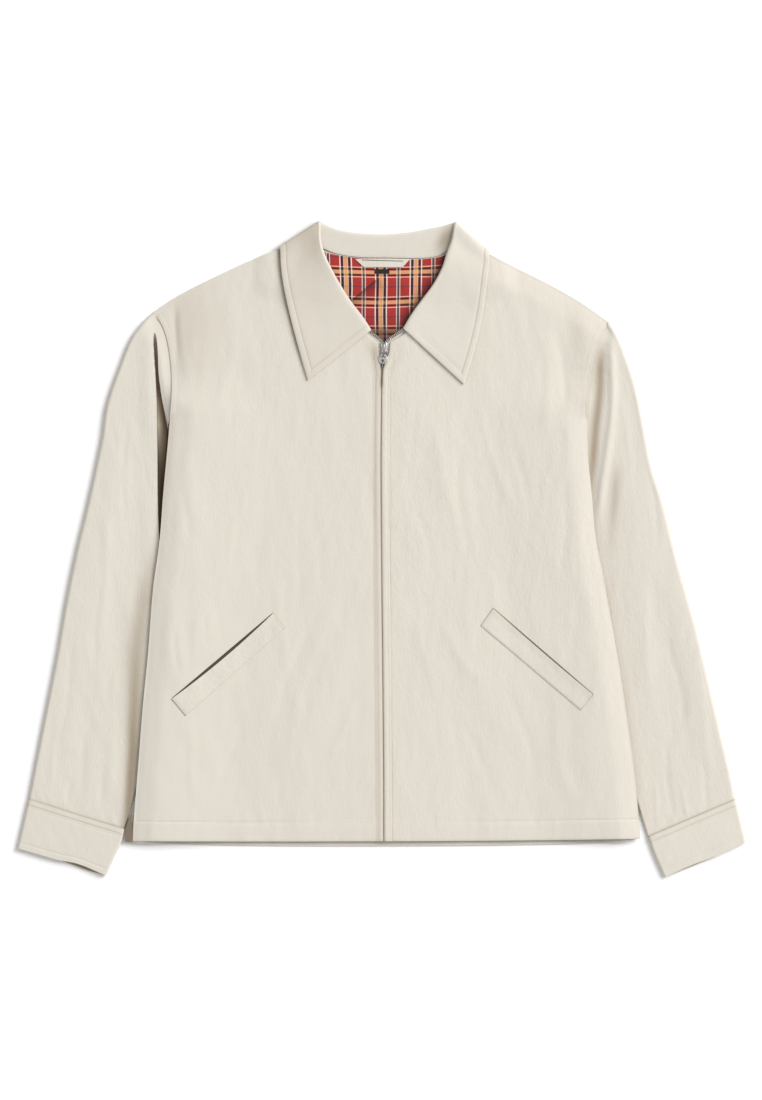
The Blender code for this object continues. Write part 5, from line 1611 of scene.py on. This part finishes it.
def makeCrinkleGroup():
    # fine slubs and crinkles that run mostly along the cloth
    group, desk, given, out = newGroup("washed crinkle", [
        ("Way", "NodeSocketVector", None), ("Slubs", "NodeSocketFloat", 1.0),
        ("Crinkles", "NodeSocketFloat", 1.0)],
        [("Height", "NodeSocketFloat"), ("Tone", "NodeSocketFloat")])

    def streaks(across, along, detail, turn, roughness=0.55):
        mapping = desk.add("ShaderNodeMapping", i0=given["Way"], Scale=(across, along, 1),
                           Rotation=(0, 0, math.radians(turn)))
        noise = desk.add("ShaderNodeTexNoise", {"noise_dimensions": "2D"}, Vector=mapping.outputs[0],
                         Scale=1.0, Detail=detail, Roughness=roughness)
        return noise.outputs[0]

    slub = streaks(1500, 70, 1.0, 0)
    weft = streaks(60, 1300, 1.0, 0)
    fine = streaks(330, 150, 2.0, 8)
    soft = streaks(120, 62, 2.0, -10)
    crinkle = desk.math("ADD", desk.math("MULTIPLY", fine, 0.55), desk.math("MULTIPLY", soft, 1.1))
    ridged = desk.math("ABSOLUTE", desk.math("SUBTRACT", streaks(190, 95, 1.5, 14), 0.5))
    crinkle = desk.math("ADD", crinkle, desk.math("MULTIPLY", ridged, -0.9))
    threads = desk.math("MULTIPLY", desk.math("ADD", slub, desk.math("MULTIPLY", weft, 0.6)), 0.10)
    height = desk.math("ADD", desk.math("MULTIPLY", crinkle, given["Crinkles"]),
                       desk.math("MULTIPLY", threads, given["Slubs"]))
    desk.link(height, out["Height"])
    desk.link(desk.math("ADD", desk.math("MULTIPLY", slub, 0.6), desk.math("MULTIPLY", soft, 0.4)),
              out["Tone"])
    return group


def clothMaterial(name, roughness, sheen):
    made, shader = newMaterial(name, Roughness=roughness, Specular_IOR_Level=0.25, Sheen_Weight=sheen,
                               Sheen_Roughness=0.55)
    desk = NodeDesk(made.node_tree)
    way = desk.add("ShaderNodeUVMap", {"uv_map": "clothWay"}).outputs[0]
    return made, desk, shader, way


def makeStoneCloth():
    look = finishLook
    made, desk, shader, way = clothMaterial("stone cotton", 0.88, 0.06)
    weave = desk.add("ShaderNodeGroup", {"node_tree": weaveGroup}, i0=way, i1=look["stoneThreads"])
    amount = desk.add("ShaderNodeAttribute", {"attribute_name": "crinkle"}).outputs["Fac"]
    crinkle = desk.add("ShaderNodeGroup", {"node_tree": crinkleGroup}, i0=way, i2=amount)
    tone = desk.mix(desk.math("MULTIPLY", crinkle.outputs["Tone"], 0.62), look["stone"], look["stoneDeep"])
    tone = desk.mix(desk.math("MULTIPLY", weave.outputs["Tone"], 0.06), tone, look["stoneDeep"])
    # painted shade: the foldShade attribute multiplies the cloth's colour through tan toward dark brown
    shade = desk.add("ShaderNodeAttribute", {"attribute_name": "foldShade"}).outputs["Fac"]
    deep = desk.add("ShaderNodeValToRGB", i0=shade).outputs[0]
    ramp = deep.node.color_ramp
    ramp.elements[0].color, ramp.elements[1].color = (1, 1, 1, 1), (*look["paintedShadeDark"], 1)
    ramp.elements.new(0.5).color = (*look["paintedShadeTan"], 1)
    tone = desk.mix(1.0, tone, deep, "MULTIPLY")
    desk.link(tone, shader.inputs["Base Color"])
    height = desk.math("ADD", desk.math("MULTIPLY", weave.outputs["Height"], 0.035),
                       desk.math("MULTIPLY", crinkle.outputs["Height"], look["crinkleHigh"]))
    desk.bump(height, shader, Strength=1.0)
    return made


def stripeRamp(desk, position, bands, ground):
    # constant colour bands over one repeat; bands are start, end, colour and how much of it shows
    ramp = desk.add("ShaderNodeValToRGB", i0=position)
    steps = ramp.color_ramp
    steps.interpolation = "CONSTANT"
    steps.elements[0].position = 0
    steps.elements[0].color = (*ground, 0)
    steps.elements.remove(steps.elements[1])
    for start, end, colour, shown in bands:
        element = steps.elements[0] if start == 0 else steps.elements.new(start)
        element.color = (*colour, shown)
        if not any(other[0] == end for other in bands):
            steps.elements.new(end).color = (*ground, 0)
    return ramp.outputs[0], ramp.outputs[1]


def makeTartan():
    # a traditional red check, charted: warp bands, weft bands, half and half
    look, lining = finishLook, liningLook
    made, desk, shader, way = clothMaterial("tartan lining", 0.42, 0.1)
    parts = desk.add("ShaderNodeSeparateXYZ", i0=way)
    red, navy, cream, orange, teal = look["red"], look["navy"], look["cream"], look["orange"], look["teal"]
    maroon, pink, salmon, purple = look["maroon"], look["pink"], look["salmon"], look["purple"]
    warpPlace, weftPlace = [
        desk.math("MULTIPLY_ADD", part, 1000 / lining[run + "Repeat"],
                  0.5 - lining[run + "Middle"] / lining[run + "Repeat"])
        for part, run in ((parts.outputs[0], "warp"), (parts.outputs[1], "weft"))]
    warp, warpShown = stripeRamp(desk, desk.math("FRACT", warpPlace), [
        (0.000, 0.030, teal, 0.9), (0.034, 0.056, cream, 0.75), (0.322, 0.355, cream, 0.9),
        (0.362, 0.424, navy, 1.0),
        (0.434, 0.454, cream, 0.6), (0.454, 0.484, salmon, 0.8), (0.484, 0.516, orange, 0.95),
        (0.516, 0.546, salmon, 0.8),
        (0.546, 0.566, cream, 0.6), (0.576, 0.638, navy, 1.0),
        (0.645, 0.678, cream, 0.9), (0.944, 0.966, cream, 0.75), (0.970, 0.9999, teal, 0.9)], red)
    weft, weftShown = stripeRamp(desk, desk.math("FRACT", weftPlace), [
        (0.000, 0.020, purple, 0.6), (0.312, 0.342, pink, 0.8), (0.366, 0.420, maroon, 0.95),
        (0.440, 0.560, salmon, 0.8),
        (0.580, 0.634, maroon, 0.95), (0.658, 0.688, pink, 0.8), (0.980, 0.9999, purple, 0.6)], red)
    diagonal = desk.math("MULTIPLY", desk.math("ADD", parts.outputs[0], parts.outputs[1]), 900.0)
    twill = desk.math("GREATER_THAN", desk.math("FRACT", diagonal), 0.5)
    uneven = desk.math("MULTIPLY_ADD", twill, 0.12, 0.90)
    colour = desk.mix(weftShown, red, weft)
    colour = desk.mix(desk.math("MULTIPLY", warpShown, uneven), colour, warp)
    colour = desk.mix(desk.math("MULTIPLY", weftShown, 0.36), colour, weft)
    # painted shade on the lining, mixed toward dark red-black by the foldShade attribute
    shade = desk.add("ShaderNodeAttribute", {"attribute_name": "foldShade"}).outputs["Fac"]
    desk.link(desk.mix(shade, colour, look["liningShadeDark"]), shader.inputs["Base Color"])
    weave = desk.add("ShaderNodeGroup", {"node_tree": weaveGroup}, i0=way, i1=2600.0)
    crinkle = desk.add("ShaderNodeGroup", {"node_tree": crinkleGroup}, i0=way)
    height = desk.math("ADD", desk.math("MULTIPLY", weave.outputs["Height"], 0.02),
                       desk.math("MULTIPLY", crinkle.outputs["Height"], 0.12))
    desk.bump(height, shader)
    return made


def makePlainCloth(name, kind, threads, roughness, high, shadedEdge=-1.0):
    # shadedEdge: painted shade, dark where the cloth's way across is under this many metres; -1 leaves none
    colour, deep = finishLook[kind], finishLook[kind + "Deep"]
    made, desk, shader, way = clothMaterial(name, roughness, 0.05)
    weave = desk.add("ShaderNodeGroup", {"node_tree": weaveGroup}, i0=way, i1=threads)
    crinkle = desk.add("ShaderNodeGroup", {"node_tree": crinkleGroup}, i0=way)
    tone = desk.mix(desk.math("MULTIPLY", crinkle.outputs["Tone"], 0.6), colour, deep)
    tone = desk.mix(desk.math("MULTIPLY", weave.outputs["Tone"], 0.25), tone, deep)
    across = desk.add("ShaderNodeSeparateXYZ", i0=way).outputs[0]
    # painted shade along the edge by the zip's teeth
    tone = desk.mix(desk.math("LESS_THAN", across, shadedEdge), tone, finishLook["paintedShadeDark"])
    desk.link(tone, shader.inputs["Base Color"])
    desk.bump(desk.math("MULTIPLY", weave.outputs["Height"], high), shader)
    return made


def makeMetal():
    made, shader = newMaterial("nickel", Metallic=1.0)
    desk = NodeDesk(made.node_tree)
    place = desk.add("ShaderNodeTexCoord").outputs["Object"]
    noise = desk.add("ShaderNodeTexNoise", Vector=place, Scale=900.0)
    # painted reflection: a bright room in one direction and a dark one in the other, picked by the mirrored
    # direction
    mirrored = desk.add("ShaderNodeTexCoord").outputs["Reflection"]
    room = desk.add("ShaderNodeTexNoise", Vector=mirrored, Scale=2.3)
    reflectedDark = desk.math("SUBTRACT", 1.0, desk.math("MULTIPLY_ADD", room.outputs[0], 5.0, -1.9))
    reflectedDark.node.use_clamp = True
    wearAndReflection = desk.mix(desk.math("MULTIPLY", noise.outputs[0], 0.5), finishLook["metal"],
                    finishLook["metalWorn"])
    # painted reflection darkens the worn tone where the mirrored direction finds the dark room
    wearAndReflection = desk.mix(desk.math("MULTIPLY", reflectedDark, 0.85), wearAndReflection, finishLook["paintedReflectionDark"])
    desk.bump(noise.outputs[0], shader, Strength=0.6, Distance=0.0006)
    desk.link(wearAndReflection, shader.inputs["Base Color"])
    desk.link(desk.math("MULTIPLY_ADD", noise.outputs[0], 0.22, 0.16), shader.inputs["Roughness"])
    return made


def makeThread():
    made, shader = newMaterial("sewing thread", Roughness=0.7)
    desk = NodeDesk(made.node_tree)
    place = desk.add("ShaderNodeTexCoord").outputs["Object"]
    noise = desk.add("ShaderNodeTexNoise", Vector=place, Scale=300.0)
    desk.link(desk.mix(noise.outputs[0], finishLook["thread"], finishLook["stoneDeep"]),
              shader.inputs["Base Color"])
    return made


weaveGroup = makeWeaveGroup()
crinkleGroup = makeCrinkleGroup()
stoneCloth = makeStoneCloth()
tartanCloth = makeTartan()
tapeCloth = makePlainCloth("zip tape", "tape", 1500.0, 0.85, 0.08, finishLook["tapeEdge"])
labelCloth = makePlainCloth("dark woven label", "label", 2600.0, 0.6, 0.05)
pocketShadow = makePlainCloth("pocket lining in shade", "pocket", 2000.0, 0.95, 0.03)
polishedMetal = makeMetal()
threadFinish = makeThread()
print("stage: finishes made")


stitchLook = {"length": 2.0, "pitch": 2.9, "radius": 0.24, "seed": 7}


def setInput(modifier, group, label, value):
    for item in group.interface.items_tree:
        if item.item_type == "SOCKET" and item.in_out == "INPUT" and item.name == label:
            modifier[item.identifier] = value


def makeStitchTree():
    group, desk, given, out = newGroup("running stitches", [
        ("Paths", "NodeSocketGeometry", None), ("Stitch length", "NodeSocketFloat", 0.002),
        ("Pitch", "NodeSocketFloat", 0.003),
        ("Thread radius", "NodeSocketFloat", 0.00025), ("Seed", "NodeSocketInt", 1),
        ("Finish", "NodeSocketMaterial", None)],
        [("Stitches", "NodeSocketGeometry")], "GeometryNodeTree")
    curves = desk.add("GeometryNodeMeshToCurve", Mesh=given["Paths"])
    spots = desk.add("GeometryNodeCurveToPoints", {"mode": "LENGTH"}, Curve=curves.outputs[0],
                     Length=given["Pitch"])
    bead = desk.add("GeometryNodeMeshUVSphere", Segments=5, Rings=4, Radius=1.0)
    size = desk.add("ShaderNodeCombineXYZ", i0=given["Thread radius"], i1=given["Thread radius"],
                    i2=desk.math("MULTIPLY", given["Stitch length"], 0.5))
    shaped = desk.add("GeometryNodeTransform", Geometry=bead.outputs[0], Scale=size.outputs[0])
    uneven = desk.add("FunctionNodeRandomValue", {"data_type": "FLOAT_VECTOR"}, Seed=given["Seed"])
    uneven.inputs[0].default_value = (0.9, 0.9, 0.82)
    uneven.inputs[1].default_value = (1.1, 1.1, 1.12)
    laid = desk.add("GeometryNodeInstanceOnPoints", Points=spots.outputs["Points"],
                    Instance=shaped.outputs[0],
                    Rotation=spots.outputs["Rotation"], Scale=uneven.outputs[0])
    real = desk.add("GeometryNodeRealizeInstances", i0=laid.outputs[0])
    finished = desk.add("GeometryNodeSetMaterial", Geometry=real.outputs[0], Material=given["Finish"])
    desk.link(finished.outputs[0], out["Stitches"])
    return group


def makeToothTree():
    group, desk, given, out = newGroup("zip teeth", [
        ("Spots", "NodeSocketGeometry", None), ("Tooth size", "NodeSocketVector", (0.0023, 0.0013, 0.0015)),
        ("Seed", "NodeSocketInt", 1), ("Finish", "NodeSocketMaterial", None)],
        [("Teeth", "NodeSocketGeometry")], "GeometryNodeTree")
    block = desk.add("GeometryNodeMeshCube", Size=given["Tooth size"])
    turn = desk.add("GeometryNodeInputNamedAttribute", {"data_type": "FLOAT"}, Name="turn")
    spin = desk.add("ShaderNodeCombineXYZ", i2=turn.outputs[0])
    uneven = desk.add("FunctionNodeRandomValue", {"data_type": "FLOAT"}, Seed=given["Seed"])
    uneven.inputs[2].default_value = 0.94
    uneven.inputs[3].default_value = 1.04
    laid = desk.add("GeometryNodeInstanceOnPoints", Points=given["Spots"], Instance=block.outputs[0],
                    Rotation=spin.outputs[0], Scale=uneven.outputs[1])
    real = desk.add("GeometryNodeRealizeInstances", i0=laid.outputs[0])
    finished = desk.add("GeometryNodeSetMaterial", Geometry=real.outputs[0], Material=given["Finish"])
    desk.link(finished.outputs[0], out["Teeth"])
    return group


def nodesToMesh(name, holder, group, values):
    modifier = holder.modifiers.new(name, "NODES")
    modifier.node_group = group
    for label, value in values.items():
        setInput(modifier, group, label, value)
    holder.update_tag()
    graph = bpy.context.evaluated_depsgraph_get()
    mesh = bpy.data.meshes.new_from_object(holder.evaluated_get(graph))
    bpy.data.objects.remove(holder)
    mesh.name = name
    made = bpy.data.objects.new(name, mesh)
    scene.collection.objects.link(made)
    return made


def makeStitches():
    points, edges = [], []
    for run in seamRuns:
        if len(run) < 2:
            continue
        start = len(points)
        points += [tuple(c * mm for c in p) for p in run]
        edges += [(start + i, start + i + 1) for i in range(len(run) - 1)]
    mesh = bpy.data.meshes.new("seam lines")
    mesh.from_pydata(points, edges, [])
    holder = bpy.data.objects.new("seam lines", mesh)
    scene.collection.objects.link(holder)
    look = stitchLook
    return nodesToMesh("stitches", holder, makeStitchTree(), {
        "Stitch length": look["length"] * mm, "Pitch": look["pitch"] * mm,
        "Thread radius": look["radius"] * mm,
        "Seed": look["seed"], "Finish": threadFinish})


def makeTeeth():
    look = zipLook
    points, turns = [], []
    for run in toothRuns:
        for i, place in enumerate(run):
            before, after = run[max(0, i - 1)], run[min(len(run) - 1, i + 1)]
            points.append(tuple(c * mm for c in place))
            turns.append(math.atan2(after[1] - before[1], after[0] - before[0]) - math.pi / 2)
    mesh = bpy.data.meshes.new("tooth spots")
    mesh.from_pydata(points, [], [])
    mesh.attributes.new("turn", "FLOAT", "POINT").data.foreach_set("value", turns)
    holder = bpy.data.objects.new("tooth spots", mesh)
    scene.collection.objects.link(holder)
    size = (look["toothWide"] * mm, look["toothLong"] * mm, look["toothHigh"] * mm)
    return nodesToMesh("zipTeeth", holder, makeToothTree(),
                       {"Tooth size": size, "Seed": 3, "Finish": polishedMetal})


seamLook = {"high": 0.1}   # thread above the cloth, mm


def surfaceHeight(made):
    # the top of a finished piece under a place, from its own mesh
    tree = BVHTree.FromObject(made, bpy.context.evaluated_depsgraph_get())

    def height(x, y):
        hit = tree.ray_cast(Vector((x * mm, y * mm, 0.1)), Vector((0, 0, -1)))[0]
        return hit.z * 1000 if hit else None
    return height


def seamOn(made, points, count, moved=0.0, trim=(0.0, 1.0)):
    # a line of stitches laid on a finished piece, moved aside from a curve
    height = surfaceHeight(made)
    line = sampled(points, count)
    line = movedOut(line, moved) if moved else line
    line = line[int(trim[0] * (count - 1)): int(trim[1] * (count - 1)) + 1]
    run = []
    for x, y in line:
        z = height(x, y)
        if z is not None:
            run.append((x, y, z + seamLook["high"]))
    seamRuns.append(run)


seamRuns = []    # lines of stitches
toothRuns = []   # the zip's two rows of teeth

makeStudio()
pieces, mouths = {}, []
pieces["back"] = makeBack()
for side in ("left", "right"):
    pieces["front_" + side] = makeFront(side)
print("stage: body made")
for side in ("left", "right"):
    pieces["sleeve_" + side], sleevePoints = makeSleeve(side)
    if side == "left":
        sleeveSlitShade = makeSlitShade(sleevePoints)
    pieces["cuff_" + side] = makeCuff(side)
    mouths.append(makeCuffMouth(side))
print("stage: sleeves made")
pieces["collar"] = makeCollar()
print("stage: collar made")
for side in ("left", "right"):
    pieces["welt_" + side], mouth = makeWelt(side)
    mouths.append(mouth)
    pieces["zip_tape_" + side] = makeTape(side)
pieces["lining_back"] = makeLining()
pieces["hanger_loop"], loopSlitShade, pieces["neck_label"] = makeNeckPieces()
sliderPlates, sliderBridge, pullTab = makeSlider()
print("stage: small pieces made")

for side, sign in (("left", -1), ("right", 1)):
    front = pieces["front_" + side]
    seamIn = frontLook["stripWide"] - frontLook["stripSeamIn"]
    seamOn(front, bodyShape[side + "Centre"], 240, seamIn * sign, (0.004, 0.985))
    seamOn(front, bodyShape[side + "Hem"], 130, -frontLook["hemDeep"] * sign, (0.01, 0.99))
    for inside in frontLook["armholeSeams"]:
        seamOn(front, bodyShape[side + "Armhole"], 60, -inside * sign, (0.02, 0.96))
    for moved, edge in ((cuffLook["stitchIn"], "top"), (-cuffLook["stitchIn"], "bottom")):
        seamOn(pieces["cuff_" + side], cuffLook[side][edge], 60, moved * sign, (0.04, 0.96))
    seamOn(pieces["sleeve_" + side], sleeveLook[side + "CuffSeam"], 60, -3.0 * sign, (0.04, 0.96))
stitches = makeStitches()
zipTeeth = makeTeeth()
print("stage: stitches and teeth made")

for node, piece in pieces.items():
    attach(piece, "jacket")
    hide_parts(node)
for piece in mouths + [loopSlitShade, sleeveSlitShade, stitches]:
    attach(piece, "jacket")
for piece in (sliderPlates, sliderBridge):
    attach(piece, "jacket")
    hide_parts("zip_slider")
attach(zipTeeth, "jacket")
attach(pullTab, "pull")
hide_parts("zip_pull")
